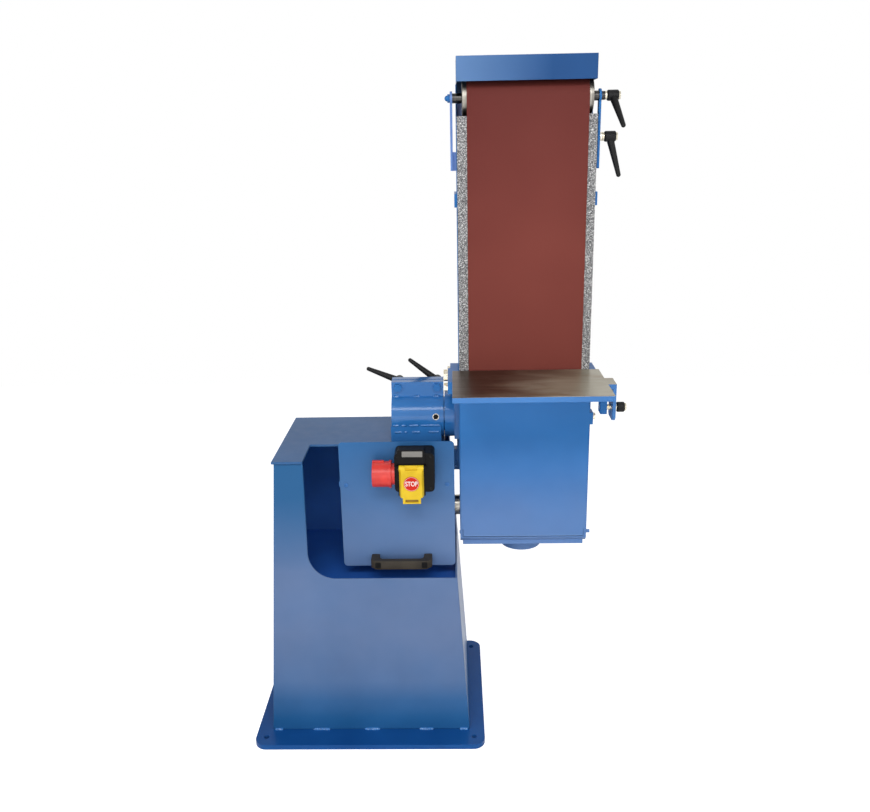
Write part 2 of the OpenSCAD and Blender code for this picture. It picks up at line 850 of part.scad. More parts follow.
module housing_pan() {
    lip_y = cover_seat_y + pan_slope;
    color(blue) difference() {
        x_prism(in_left, in_right - in_left) union() {
            polygon([
                [cover_seat_y, pan_slope_z - pan_t], [lip_y, pan_z - pan_t], [housing_back_y, pan_z - pan_t],
                [housing_back_y, pan_z], [lip_y, pan_z], [cover_seat_y, pan_slope_z]
            ]);
            rectangle(lip_y, lip_y + pan_t, pan_z - pan_t - pan_lip, pan_z - pan_t + over);
            rectangle(housing_back_y - pan_t, housing_back_y, pan_z - over, shoulder_z);
            polygon([
                [housing_back_y - pan_t, shoulder_z - pan_t], [housing_back_y, shoulder_z],
                [guard_back_y, guard_low], [guard_back_y - pan_t, guard_low - pan_t]
            ]);
        }
        translate([belt_mid, spigot_y, pan_z - pan_t - over])
            cylinder(r = spigot_r - spigot_wall, h = pan_t + 2 * over);
    }
}

module dust_spigot() {
    top = pan_z - pan_t;
    color(blue) translate([belt_mid, spigot_y, top - spigot_len]) difference() {
        cylinder(r = spigot_r, h = spigot_len);
        translate([0, 0, -over]) cylinder(r = spigot_r - spigot_wall, h = spigot_len + 2 * over);
    }
}

// Front view of the platen: full width above the table, between the side plates below it.
module platen_view(top) {
    rectangle(arm_left + platen_inset, arm_right - platen_inset, bar_top, top);
    rectangle(in_left, in_right, drum_z + platen_low, bar_top + over);
}

module platen() {
    color(steel) y_prism(platen_y, platen_t) platen_view(platen_top);
}

module platen_pad() {
    color([0.48, 0.48, 0.48]) y_prism(pad_y, pad_t) platen_view(platen_top + pad_rise);
}

// Channel that closes the back of the arm, with two straps along the side plates.
module rear_guard() {
    strap_front = platen_back_y + 2;
    z0 = tab_z - tab_h / 2;
    z1 = tab_z + tab_h / 2;
    color(blue) {
        difference() {
            x_prism(arm_left, arm_w) polygon([
                [arm_back_y, shoulder_z + shoulder_h], [guard_back_y, guard_low],
                [guard_back_y, guard_top], [arm_back_y, guard_top]
            ]);
            block(arm_left + guard_t, arm_right - guard_t, arm_back_y - over, guard_y, guard_low - over,
                guard_top + over);
        }
        block(arm_left - tab_t, arm_left, strap_front, guard_y, z0, z1);
        block(arm_left - over, arm_left + over, arm_back_y + over, guard_y, z0, z1);
        block(arm_right, arm_right + tab_t, strap_front, guard_y, z0, z1);
        block(arm_right - over, arm_right + over, arm_back_y + over, guard_y, z0, z1);
    }
}

module hood() {
    front = belt_y - hood_front;
    left = arm_left + hood_in;
    right = left + hood_w;
    top = roller_z + hood_rise;
    flange_h = hood_h / 2;
    color(blue) {
        difference() {
            block(left, right, front, guard_y, guard_top, top);
            block(left + guard_t, right - guard_t, front + guard_t, guard_y - guard_t, guard_top - over,
                top - guard_t);
        }
        block(left + guard_t, right - guard_t, guard_y - guard_t, guard_y, guard_top - flange_h,
            guard_top + over);
    }
}

module motor_carrier() {
    neck_x = panel_right - 6;
    back = drum_y + motor_r + 8;
    color(blue) {
        block(carrier_left, neck_x, panel_back_y, back, carrier_z, beam_z);
        block(neck_x - over, arm_left, neck_y, back, carrier_z, beam_z);
        block(tube_left, arm_left, beam_y, beam_y + beam_d, beam_z - over, beam_z + beam_h);
        block(arm_left - end_plate_t, arm_left, neck_y, back, carrier_z, swivel_z - flange_half - over);
    }
}

module motor_housing() {
    foot_x = 25;
    color(dark_blue) difference() {
        union() {
            x_prism(motor_left, motor_len) translate([drum_y, drum_z]) {
                circle(core_r);
                for (i = [0 : fin_count - 1])
                    rotate(i * 360 / fin_count) translate([core_r - 1, -1.2]) square([fin_h + 1, 2.4]);
            }
            for (side = [-1, 1])
                x_prism(motor_left + foot_x, motor_len - 2 * foot_x)
                    translate([drum_y + side * motor_foot_y, drum_z]) rectangle(-17, 17, 30, shaft_h);
            x_prism(motor_left + foot_x, motor_len - 2 * foot_x) translate([drum_y, drum_z])
                rectangle(-terminal_half, terminal_half, -motor_r - 2, -core_r + 12);
        }
        x_rod(motor_left - over, motor_len + 2 * over, motor_shaft_r + 1, drum_y, drum_z);
    }
}

module motor_end_shields() {
    color(dark_blue) difference() {
        union() {
            x_rod(motor_right, shield_t, motor_r - 2, drum_y, drum_z);
            x_rod(motor_right + shield_t - over, boss_t + over, bearing_r * 2, drum_y, drum_z);
            x_rod(motor_left - rear_shield_t, rear_shield_t, motor_r - 2, drum_y, drum_z);
        }
        x_rod(cowl_left, motor_face - cowl_left + over, motor_shaft_r + run_fit, drum_y, drum_z);
    }
}

module motor_fan_cowl() {
    slot_count = 16;
    slot_in = motor_r * 0.28;
    slot_out = motor_r * 0.77;
    color(dark_blue) difference() {
        x_rod(cowl_left, cowl_len + rear_shield_t / 2, motor_r, drum_y, drum_z);
        x_rod(cowl_left + 2, cowl_len + rear_shield_t, motor_r - 2, drum_y, drum_z);
        x_prism(cowl_left - over, 2 + 2 * over) translate([drum_y, drum_z])
            for (i = [0 : slot_count - 1])
                rotate(i * 360 / slot_count) rectangle(slot_in, slot_out, -3, 3);
    }
}

module terminal_box() {
    mid = (motor_left + motor_right) / 2;
    top = drum_z - motor_r - 2;
    color(dark_blue) y_prism(drum_y - terminal_half, 2 * terminal_half)
        round_rectangle(mid - terminal_w / 2, mid + terminal_w / 2, top - terminal_h, top, 5);
}

module motor_shaft() {
    color(steel) x_rod(cowl_left + 8, drum_left + drum_web - cowl_left - 8, motor_shaft_r, drum_y, drum_z);
}

module motor_fan() {
    fan_x = cowl_left + cowl_len / 5;
    fan_w = cowl_len * 3 / 5;
    color(black) x_prism(fan_x, fan_w) translate([drum_y, drum_z]) difference() {
        union() {
            circle(motor_shaft_r + 6);
            for (i = [0 : 6])
                rotate(i * 360 / 7) rectangle(motor_shaft_r, motor_r - 12, -1.5, 1.5);
        }
        circle(motor_shaft_r);
    }
}

module drum_shell() {
    shell_r = drum_r - lagging_t;
    color(steel) difference() {
        union() {
            x_rod(drum_left, drum_w, shell_r, drum_y, drum_z);
            x_rod(motor_face + slide_gap, drum_left - motor_face, sleeve_r, drum_y, drum_z);
        }
        x_rod(drum_left + drum_web, drum_w - 2 * drum_web, shell_r - drum_wall, drum_y, drum_z);
        x_rod(motor_face, drum_left + drum_web - motor_face + over, motor_shaft_r, drum_y, drum_z);
        x_rod(drum_right - drum_web - over, drum_web + 2 * over, bearing_r, drum_y, drum_z);
    }
}

module drum_lagging() {
    color(black) x_prism(drum_left, drum_w) translate([drum_y, drum_z]) difference() {
        circle(drum_r);
        circle(drum_r - lagging_t);
    }
}

module bearing_ring(x0, y, z) {
    color(steel) x_prism(x0, bearing_w) translate([y, z]) difference() {
        circle(bearing_r);
        circle(axle_r + run_fit);
    }
}

module drum_bearing() {
    bearing_ring(drum_right - bearing_w, drum_y, drum_z);
}

module drum_stub_axle() {
    flange = in_right - drum_right - 3;
    color(steel) {
        x_rod(in_right - flange, flange, bearing_r + 9, drum_y, drum_z);
        x_rod(drum_right - bearing_w, in_right - drum_right + bearing_w - over, axle_r, drum_y, drum_z);
    }
}

// Outline of a loop stretched over the drum and the top roller at the given distance.
module belt_outline(gap) {
    dy = roller_y - drum_y;
    dz = roller_z - drum_z;
    lean = acos((drum_r - roller_r) / sqrt(dy * dy + dz * dz));
    back = atan2(dz, dy) - lean;
    front = atan2(dz, dy) + lean;
    low = drum_r + gap;
    high = roller_r + gap;
    circle(low);
    translate([dy, dz]) circle(high);
    polygon([
        [low * cos(back), low * sin(back)], [dy + high * cos(back), dz + high * sin(back)],
        [dy + high * cos(front), dz + high * sin(front)], [low * cos(front), low * sin(front)]
    ]);
}

module sanding_belt() {
    color([0.50, 0.24, 0.21]) x_prism(belt_mid - belt_w / 2, belt_w)
        translate([drum_y, drum_z]) difference() {
            belt_outline(belt_gap + belt_t);
            belt_outline(belt_gap);
        }
}

module idler_roller() {
    color([0.75, 0.75, 0.74]) difference() {
        x_rod(roller_left, roller_w, roller_r, roller_y, roller_z);
        x_rod(roller_left - over, roller_w + 2 * over, bearing_r, roller_y, roller_z);
        x_rod(roller_left + 2 * bearing_w, roller_w - 4 * bearing_w, roller_r - roller_wall, roller_y,
            roller_z);
    }
}

module roller_bearings() {
    bearing_ring(roller_left, roller_y, roller_z);
    bearing_ring(roller_right - bearing_w, roller_y, roller_z);
}

// Flat bracket with a round head on the roller shaft and a slide pad towards the arm at its foot.
module roller_bracket(x0, pad_x, space) {
    half = shank_w / 2;
    foot_z = roller_z - bracket_len;
    slot_r = tension_stud_r + slide_gap;
    pad_len = space - slide_gap;
    color(blue) {
        x_prism(x0, bracket_t) difference() {
            union() {
                translate([roller_y, roller_z]) circle(bracket_w / 2);
                rectangle(roller_y - half, roller_y + half, foot_z, roller_z);
            }
            translate([roller_y, roller_z]) circle(axle_r);
            for (z = [tension_z, tension_z + tension_travel])
                translate([roller_y, z]) circle(slot_r);
            rectangle(roller_y - slot_r, roller_y + slot_r, tension_z, tension_z + tension_travel);
        }
        block(pad_x, pad_x + pad_len, roller_y - half + slide_pad_in, roller_y + half, foot_z,
            foot_z + slide_pad_h);
    }
}

module roller_bracket_left() {
    roller_bracket(bracket_left, bracket_left + bracket_t, left_space);
}

module roller_bracket_right() {
    roller_bracket(bracket_right, arm_right + slide_gap, right_space);
}

module roller_shaft() {
    shoulder = 7;
    end_x = bracket_right + bracket_t;
    color(steel) {
        x_rod(bracket_left, end_x - bracket_left, axle_r, roller_y, roller_z);
        x_rod(end_x, shoulder, axle_r - 1, roller_y, roller_z);
        x_rod(end_x, shoulder + slide_gap + lever_bore - over, tension_stud_r + 1, roller_y, roller_z);
    }
}

module roller_nut() {
    color(blue) translate([bracket_left, roller_y, roller_z]) rotate([0, -90, 0]) {
        hexagon(15, 5);
        intersection() {
            translate([0, 0, 5]) sphere(r = 6);
            translate([0, 0, 5]) cylinder(r = 8, h = 8);
        }
    }
}

module roller_lever() {
    side_lever(bracket_right + bracket_t + 7 + slide_gap, roller_y, roller_z, -40, tension_stud_r + 1,
        lever_hub_h, roller_rise);
}

module tension_lever() {
    side_lever(bracket_right + bracket_t + 4 + 2 * slide_gap, roller_y, tension_z, 0, tension_stud_r,
        lever_hub_h, lever_rise);
}

module table_lever() {
    side_lever(lug_x + lug_t + slide_gap, pivot_y, pivot_z, 77, table_stud_r, low_hub_h, low_rise);
}

module table_rest_bar() {
    front = cover_y - rest_bar_front;
    step = swivel_y - rest_bar_step;
    back = swivel_y + rest_bar_back;
    low = bar_top - rest_bar_h;
    color(blue) difference() {
        union() {
            block(rest_bar_x, rest_bar_x + rest_bar_t, front, step, low, bar_top);
            block(rest_step_x, arm_left, cover_seat_y, back, low, bar_top);
        }
        for (bolt = rest_bolts)
            x_rod(bolt[1] - over, bolt[2] + 2 * over, bolt[3], bolt[0], rest_bolt_z);
    }
}

module table_pivot_bar() {
    back = swivel_y + 30;
    reach = bar_top - pivot_z;
    block_top = pivot_z + sqrt(reach * reach - pivot_block * pivot_block);
    low = pivot_z - pivot_block_low;
    color(blue) difference() {
        union() {
            x_prism(pivot_bar_x, pivot_bar_t) {
                rectangle(pivot_y - pivot_block, pivot_y + over, low, block_top);
                rectangle(pivot_y, pivot_y + pivot_block, low, bar_top);
                rectangle(pivot_y, back, bar_top - pivot_bar_h, bar_top);
            }
            block(arm_right, pivot_bar_x + over, cover_seat_y, back, bar_top - pivot_bar_h, bar_top);
        }
        x_rod(pivot_bar_x - over, pivot_bar_t + 2 * over, table_stud_r, pivot_y, pivot_z);
    }
}

// Bolts of the rest bar, stud of the table and stud of the belt tension.
module arm_bolts() {
    washer_x = bracket_right + bracket_t + slide_gap;
    color(zinc) {
        for (bolt = rest_bolts) {
            x_rod(bolt[1], bolt[2], bolt[3], bolt[0], rest_bolt_z);
            translate([bolt[1], bolt[0], rest_bolt_z]) rotate([0, -90, 0]) hexagon(bolt[4], bolt[5]);
        }
        x_rod(pivot_bar_x, lug_x - pivot_bar_x + lug_t + slide_gap + low_bore - over, table_stud_r,
            pivot_y, pivot_z);
        x_rod(in_right, washer_x + 4 - in_right, tension_stud_r, roller_y, tension_z);
        x_rod(washer_x, 4, lever_hub_r - 2, roller_y, tension_z);
        x_rod(washer_x, 4 + slide_gap + lever_bore - over, tension_stud_r, roller_y, tension_z);
    }
}

module table_plate() {
    left = arm_left - table_left;
    right = arm_right + table_right;
    color(steel) {
        block(left, right, table_front_y, table_back_y, table_under, table_z);
        block(right - over, lug_x + lug_t, pivot_y - lug_half, pivot_y + lug_half, table_under, table_z);
        x_prism(lug_x, lug_t) translate([pivot_y, pivot_z]) difference() {
            polygon([
                [-lug_half, lug_cut - lug_low], [lug_cut - lug_half, -lug_low],
                [lug_half - lug_cut, -lug_low], [lug_half, lug_cut - lug_low],
                [lug_half, table_under + over - pivot_z], [-lug_half, table_under + over - pivot_z]
            ]);
            circle(table_stud_r + run_fit);
        }
    }
}

module cover_hinge_pin() {
    color(steel) x_rod(arm_left - 2, arm_w + 10, hinge_pin_r, hinge_y, hinge_z);
}

module front_cover() {
    slot_r = latch_r + 0.8;
    lug_in = arm_right + slide_gap;
    left = arm_left + cover_inset;
    right = arm_right - cover_inset;
    color(blue) {
        difference() {
            union() {
                block(left, right, cover_y, cover_y + sheet_t, hinge_z + hinge_inset + sheet_t, cover_top);
                block(in_left + over, in_right - over, cover_y, cover_y + sheet_t, cover_low, cover_top);
                block(in_left + over, in_right - over, cover_y, cover_y + 6 * sheet_t, cover_top - sheet_t,
                    cover_top);
                x_rod(in_left + over, in_right - in_left - 2 * over, knuckle_r, hinge_y, hinge_z);
            }
            x_rod(arm_left, arm_w, hinge_pin_r + run_fit, hinge_y, hinge_z);
        }
        difference() {
            union() {
                block(lug_in, lug_in + lug_plate_t, cover_y, latch_y + 10, latch_z - 14, latch_z + 14);
                block(right - over, lug_in + lug_plate_t, cover_y, cover_y + sheet_t, latch_z - 14,
                    latch_z + 14);
            }
            x_rod(lug_in - over, lug_plate_t + 2 * over, slot_r, latch_y, latch_z);
            block(lug_in - over, lug_in + lug_plate_t + over, latch_y, latch_y + 11, latch_z - slot_r,
                latch_z + slot_r);
        }
    }
}

module latch_screw() {
    head_x = arm_right + 2 * slide_gap + lug_plate_t;
    color(zinc) {
        x_rod(in_right, head_x - in_right + over, latch_r, latch_y, latch_z);
        x_rod(head_x, 1.6, 8.5, latch_y, latch_z);
        translate([head_x + 1.6, latch_y, latch_z]) rotate([0, 90, 0]) hexagon(13, 5.5);
    }
}

module switch_panel() {
    color(blue) y_prism(panel_y, panel_t)
        round_rectangle(panel_left, panel_right, panel_low, panel_top, panel_corner_r);
}

// Bridge handle: a bar between two feet, with the corners cut on a slant.
module panel_handle() {
    foot = 19;
    bar = 15;
    chamfer = 10;
    inner_r = 12;
    right = handle_left + handle_len;
    far = panel_y - handle_reach;
    in_y = far + bar;
    in_x0 = handle_left + foot;
    in_x1 = right - foot;
    color(black) translate([0, 0, handle_z]) linear_extrude(handle_h) difference() {
        polygon([
            [handle_left, panel_y], [handle_left, far + chamfer], [handle_left + chamfer, far],
            [right - chamfer, far], [right, far + chamfer], [right, panel_y]
        ]);
        rectangle(in_x0, in_x1, in_y + inner_r, panel_y + over);
        rectangle(in_x0 + inner_r, in_x1 - inner_r, in_y, panel_y);
        for (x = [in_x0 + inner_r, in_x1 - inner_r])
            translate([x, in_y + inner_r]) circle(inner_r);
    }
}

module switch_box() {
    corner = 9;
    ear_w = 5;
    ear_in = flap_w / 2 + slide_gap;
    frame_half = flap_w / 2 + 3;
    well = slide_gap + 0.2;
    color(black) difference() {
        union() {
            y_prism(box_face, box_d) round_rectangle(box_left, box_right, box_low, box_top, corner);
            y_prism(box_face - 4, 24) round_rectangle(flap_x - frame_half, flap_x + frame_half,
                flap_top + 1, box_top + bezel_rise, 4);
            y_prism(box_face, 22) rectangle(flap_x - frame_half, flap_x + frame_half, flap_cup_low, flap_top);
            for (x = [flap_x - ear_in - ear_w, flap_x + ear_in])
                block(x, x + ear_w, flap_hinge_y - 5, box_face + over, flap_hinge_z - 6, flap_hinge_z + 6);
        }
        x_rod(flap_x - flap_w / 2 - ear_w - over, flap_w + 2 * ear_w + 2 * over, trunnion_r + run_fit,
            flap_hinge_y, flap_hinge_z);
        for (z = button_zs)
            block(flap_x - button_half - well, flap_x + button_half + well, box_face - over, box_face + 14,
                z - button_half - well, z + button_half + well);
    }
}

// Push button that stands proud of the switch box and slides into its well.
module button(z) {
    block(flap_x - button_half, flap_x + button_half, box_face - button_travel - 1,
        box_face + 14 - button_travel - slide_gap, z - button_half, z + button_half);
}

module start_button() {
    color([0.15, 0.55, 0.25]) button(button_zs[0]);
}

module stop_button() {
    color([0.75, 0.12, 0.10]) button(button_zs[1]);
}

// Hollow flap on two trunnions, with a slotted pull tab at its lower edge.
module switch_flap() {
    left = flap_x - flap_w / 2;
    right = flap_x + flap_w / 2;
    tab_half = 20;
    recess_half = 13;
    back = box_face - slide_gap;
    wall = flap_wall + flap_slant * 0.6;
    color([0.93, 0.80, 0.18]) difference() {
        union() {
            intersection() {
                y_prism(flap_face, flap_d) round_rectangle(left, right, flap_cup_low, flap_hinge_z, 4);
                translate([0, 0, flap_low]) linear_extrude(flap_h + over) polygon([
                    [left + flap_slant, flap_face], [right - flap_slant, flap_face],
                    [right, flap_face + flap_d / 2], [right, back], [left, back],
                    [left, flap_face + flap_d / 2]
                ]);
            }
            x_rod(left, flap_w, flap_d / 2, flap_hinge_y, flap_hinge_z);
            y_prism(flap_face, 4) rectangle(flap_x - tab_half, flap_x + tab_half, flap_low, flap_cup_low + 5);
            x_rod(left - 4, flap_w + 8, trunnion_r, flap_hinge_y, flap_hinge_z);
        }
        block(left + wall, right - wall, flap_face + flap_wall, back + over, flap_cup_low + flap_wall,
            flap_hinge_z - flap_d / 2 - over);
        block(flap_x - recess_half, flap_x + recess_half, flap_face - over, flap_face + 5, flap_hinge_z - 3,
            flap_top + over);
        block(flap_x - 14.5, flap_x + 14.5, flap_face - over, flap_face + 5, flap_low + 3, flap_low + 10);
    }
}

module stop_disc() {
    color([0.80, 0.15, 0.12]) y_rod(flap_face - 1.5, 1.5, disc_r, flap_x, disc_z);
}

module inlet_shroud() {
    flange_len = 5;
    neck_len = 8;
    key_w = 7;
    color([0.80, 0.20, 0.18]) difference() {
        union() {
            x_rod(inlet_left, inlet_len - neck_len, inlet_r, inlet_y, inlet_z);
            x_rod(box_left - neck_len - flange_len, flange_len, inlet_r + 2, inlet_y, inlet_z);
            x_rod(box_left - neck_len - over, neck_len + over, inlet_r - 5, inlet_y, inlet_z);
            block(inlet_left, inlet_left + 26, inlet_y - key_w / 2, inlet_y + key_w / 2, inlet_z,
                inlet_z + inlet_r + 3);
        }
        x_rod(inlet_left - over, inlet_len - neck_len - flange_len + over, inlet_r - inlet_wall, inlet_y,
            inlet_z);
    }
}

module inlet_pins() {
    root_x = inlet_left + inlet_len - 13;
    tip_x = inlet_left + 16;
    color([0.75, 0.62, 0.30]) for (i = [0 : 4])
        x_rod(tip_x, root_x - tip_x, i == 0 ? 3.5 : 3, inlet_y + 14 * sin(i * 72),
            inlet_z - 14 * cos(i * 72));
}

base_plate();
pedestal_front();
pedestal_left_wall();
pedestal_right_wall();
pedestal_back_wall();
pedestal_top();
motor_bay_floor();
swivel_saddle();
swivel_clamp_tube();
clamp_bolts();
tube_set_screw();
clamp_lever_left();
clamp_lever_right();
swivel_spindle();
side_plate_left();
side_plate_right();
housing_pan();
dust_spigot();
platen();
platen_pad();
rear_guard();
hood();
motor_carrier();
motor_housing();
motor_end_shields();
motor_fan_cowl();
terminal_box();
drum_stub_axle();
table_rest_bar();
table_pivot_bar();
arm_bolts();
switch_panel();
panel_handle();
switch_box();
inlet_shroud();
inlet_pins();
cover_hinge_pin();
sanding_belt();
drum_shell();
drum_lagging();
motor_shaft();
motor_fan();
drum_bearing();
idler_roller();
roller_bearings();
roller_bracket_left();
roller_bracket_right();
roller_shaft();
roller_nut();
roller_lever();
tension_lever();
table_lever();
table_plate();
front_cover();
latch_screw();
switch_flap();
stop_disc();
start_button();
stop_button();
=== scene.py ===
import json
import math
import random

import bpy
import bmesh
from mathutils import Matrix, Vector


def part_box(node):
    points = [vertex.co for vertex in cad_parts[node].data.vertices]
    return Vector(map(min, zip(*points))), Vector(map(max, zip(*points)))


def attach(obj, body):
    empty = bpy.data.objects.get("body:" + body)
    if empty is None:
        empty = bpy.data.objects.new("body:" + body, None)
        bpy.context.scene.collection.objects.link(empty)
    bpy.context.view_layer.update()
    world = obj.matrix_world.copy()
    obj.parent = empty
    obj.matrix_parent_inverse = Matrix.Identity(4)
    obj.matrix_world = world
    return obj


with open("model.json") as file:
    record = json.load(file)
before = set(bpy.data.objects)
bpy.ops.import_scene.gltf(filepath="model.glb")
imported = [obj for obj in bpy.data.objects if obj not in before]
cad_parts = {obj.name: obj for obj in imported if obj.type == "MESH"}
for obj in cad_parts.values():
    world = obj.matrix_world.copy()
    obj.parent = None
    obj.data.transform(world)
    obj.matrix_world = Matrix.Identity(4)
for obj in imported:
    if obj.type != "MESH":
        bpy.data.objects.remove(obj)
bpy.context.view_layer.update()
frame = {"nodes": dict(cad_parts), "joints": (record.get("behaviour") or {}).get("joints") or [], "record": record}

nodes = frame["nodes"]
mm = 0.001


def srgb(red, green, blue):  # 0-255 screen colour to linear
    def linear(value):
        value /= 255
        return value / 12.92 if value <= 0.04045 else ((value + 0.055) / 1.055) ** 2.4
    return (linear(red), linear(green), linear(blue), 1)


def grey(value):
    return (value, value, value, 1)


# node tree helpers

midNoise = (0.3, 0.7)  # most of a noise lies between these


def feed(tree, socket, value):  # links an output, or sets a plain value
    if isinstance(value, bpy.types.NodeSocket):
        tree.links.new(value, socket)
    else:
        socket.default_value = value


def newFinish(name):
    material = bpy.data.materials.new(name)
    material.use_nodes = True
    tree = material.node_tree
    return material, tree, tree.nodes["Principled BSDF"]


def addNode(tree, kind, inputs=None, **settings):
    node = tree.nodes.new(kind)
    for key, value in settings.items():
        setattr(node, key, value)
    for key, value in (inputs or {}).items():
        feed(tree, node.inputs[key], value)
    return node


def objectPoint(tree, scale=(1, 1, 1)):  # place on the part at rest, in metres
    place = addNode(tree, "ShaderNodeTexCoord").outputs["Object"]
    return addNode(tree, "ShaderNodeMapping", {"Vector": place, "Scale": scale}).outputs[0]


def axes(tree, point):
    return addNode(tree, "ShaderNodeSeparateXYZ", {"Vector": point}).outputs


def noise(tree, point, scale, detail=4, rough=0.5, warp=0):
    values = {"Vector": point, "Scale": scale, "Detail": detail, "Roughness": rough, "Distortion": warp}
    return addNode(tree, "ShaderNodeTexNoise", values).outputs[0]


def ramp(tree, fac, stops):
    node = addNode(tree, "ShaderNodeValToRGB", {"Fac": fac})
    points = node.color_ramp.elements
    while len(points) < len(stops):
        points.new(0.5)
    for point, (place, colour) in zip(points, stops):
        point.position = place
        point.color = colour
    return node.outputs[0]


def span(tree, value, low, high, toLow, toHigh):
    values = {"Value": value, "From Min": low, "From Max": high, "To Min": toLow, "To Max": toHigh}
    return addNode(tree, "ShaderNodeMapRange", values).outputs[0]


def blendColour(tree, fac, first, second):
    node = addNode(tree, "ShaderNodeMix", data_type="RGBA")
    for index, value in ((0, fac), (6, first), (7, second)):  # the colour sockets of a mix node
        feed(tree, node.inputs[index], value)
    return node.outputs[2]


def combine(tree, operation, first, second):
    node = addNode(tree, "ShaderNodeMath", operation=operation)
    for socket, value in zip(node.inputs, (first, second)):
        feed(tree, socket, value)
    return node.outputs[0]


def bumpFrom(tree, height, strength, distance):
    return addNode(tree, "ShaderNodeBump", {"Height": height, "Strength": strength, "Distance": distance}).outputs[0]


def plug(tree, shader, **sockets):
    for key, value in sockets.items():
        feed(tree, shader.inputs[key.replace("_", " ")], value)


# finishes

# painted reflection: a lavender sheen of the pale floor, mixed into the enamel's colour by height and in patches
enamel = dict(light=(42, 114, 182), deep=(30, 102, 168), cloudScale=5.5, cloud=(0.32, 0.68),
              sheenTint=(140, 150, 180), patchScale=2.4, sheenSpread=(0.75, 1.2),
              dust=(96, 130, 180), dustScale=900, dustShare=0.35,
              peelScale=420, peelDepth=0.00025, peelStrength=0.35, sagScale=38, sagShare=0.5,
              gloss=(0.33, 0.39), coat=0.07, coatRough=0.14, specular=0.1)
floorSheenByHeight = ((0.05, 0), (0.09, 0.06), (0.14, 0.26), (0.27, 0.45), (0.42, 0.40), (0.53, 0.32),
                (0.62, 0.16), (0.72, 0.03))  # metres over the floor, share of the painted floor reflection


def blueEnamel(name="blueEnamel", light=enamel["light"], deep=enamel["deep"], gloss=enamel["gloss"],
               coat=enamel["coat"], sheenShare=1, washes=()):
    finish, tree, shader = newFinish(name)
    point = objectPoint(tree)
    place = axes(tree, point)
    cloud = noise(tree, point, enamel["cloudScale"], 3, 0.55)
    colour = ramp(tree, cloud, list(zip(enamel["cloud"], (srgb(*deep), srgb(*light)))))
    film = ramp(tree, place["Z"], [(level, grey(share)) for level, share in floorSheenByHeight])  # painted reflection: the pale floor seen in the gloss, a lavender sheen strongest at mid height
    patchy = span(tree, noise(tree, point, enamel["patchScale"], 4, 0.6), *midNoise,
                  *(share * sheenShare for share in enamel["sheenSpread"]))
    colour = blendColour(tree, combine(tree, "MULTIPLY", film, patchy), colour, srgb(*enamel["sheenTint"]))
    speck = ramp(tree, noise(tree, point, enamel["dustScale"], 2), [(0.70, grey(0)), (0.76, grey(1))])
    colour = blendColour(tree, combine(tree, "MULTIPLY", speck, enamel["dustShare"]), colour, srgb(*enamel["dust"]))
    for axis, start, end, share, wash in washes:  # colour that comes in along an axis
        colour = blendColour(tree, span(tree, place[axis], start, end, 0, share), colour, srgb(*wash))
    peel = noise(tree, point, enamel["peelScale"], 2, 0.45)
    sag = noise(tree, point, enamel["sagScale"], 2)
    relief = combine(tree, "ADD", peel, combine(tree, "MULTIPLY", sag, enamel["sagShare"]))
    plug(tree, shader, Base_Color=colour, Roughness=span(tree, sag, *midNoise, *gloss),
         Specular_IOR_Level=enamel["specular"], Coat_Weight=coat, Coat_Roughness=enamel["coatRough"],
         Normal=bumpFrom(tree, relief, enamel["peelStrength"], enamel["peelDepth"]))
    return finish


# top: the darker colour painted as shade at the top of the belt, under the hood
abrasive = dict(dark=(104, 44, 37), mid=(116, 52, 43), pale=(136, 71, 58), pit=(84, 30, 28), top=(82, 26, 24),
                underHoodShade=(1.12, 1.44), underHoodShadeShare=0.62, broadScale=3.2, grainScale=2600, grainDepth=0.0003)


def abrasiveCloth():
    finish, tree, shader = newFinish("abrasiveCloth")
    point = objectPoint(tree)
    broad = noise(tree, point, abrasive["broadScale"], 2)
    grain = noise(tree, point, abrasive["grainScale"], 2, 0.7)
    colour = ramp(tree, broad, [(0.3, srgb(*abrasive["dark"])), (0.7, srgb(*abrasive["mid"]))])
    underHoodShade = span(tree, axes(tree, point)["Z"], *abrasive["underHoodShade"], 0, abrasive["underHoodShadeShare"])  # painted shade: darker and redder towards the top, under the hood
    colour = blendColour(tree, underHoodShade, colour, srgb(*abrasive["top"]))
    colour = blendColour(tree, span(tree, grain, 0.55, 0.8, 0, 0.6), colour, srgb(*abrasive["pale"]))
    colour = blendColour(tree, span(tree, grain, 0.45, 0.2, 0, 0.5), colour, srgb(*abrasive["pit"]))
    plug(tree, shader, Base_Color=colour, Roughness=span(tree, broad, *midNoise, 0.80, 0.72), Specular_IOR_Level=0.3,
         Normal=bumpFrom(tree, grain, 0.55, abrasive["grainDepth"]))
    return finish


graphite = dict(dark=(50, 50, 52), mid=(122, 122, 124), fleck=(236, 236, 234), blotchScale=400, fleckScale=540,
                depth=0.0006)


def graphiteCloth():
    finish, tree, shader = newFinish("graphiteCloth")
    point = objectPoint(tree)
    blotch = noise(tree, point, graphite["blotchScale"], 3, 0.75)
    fleck = noise(tree, point, graphite["fleckScale"], 2, 0.6)
    colour = ramp(tree, blotch, [(0.38, srgb(*graphite["dark"])), (0.55, srgb(*graphite["mid"])),
                                 (0.66, srgb(*graphite["fleck"]))])
    colour = blendColour(tree, span(tree, fleck, 0.6, 0.68, 0, 0.75), colour, srgb(*graphite["fleck"]))
    plug(tree, shader, Base_Color=colour, Roughness=span(tree, blotch, *midNoise, 0.75, 0.5),
         Normal=bumpFrom(tree, blotch, 0.8, graphite["depth"]))
    return finish


ground = dict(bare=(158, 152, 132), worn=(136, 128, 106), stain=(114, 90, 54), shine=(192, 187, 172),
              patina=(66, 47, 35), lineStretch=(6, 260, 6), cloudStretch=(4, 11, 4), dropStretch=(9, 42, 10),
              frontReach=0.26, raggedReach=0.12, skinDepth=0.6 * mm, coat=0.1, lineDepth=0.0003)


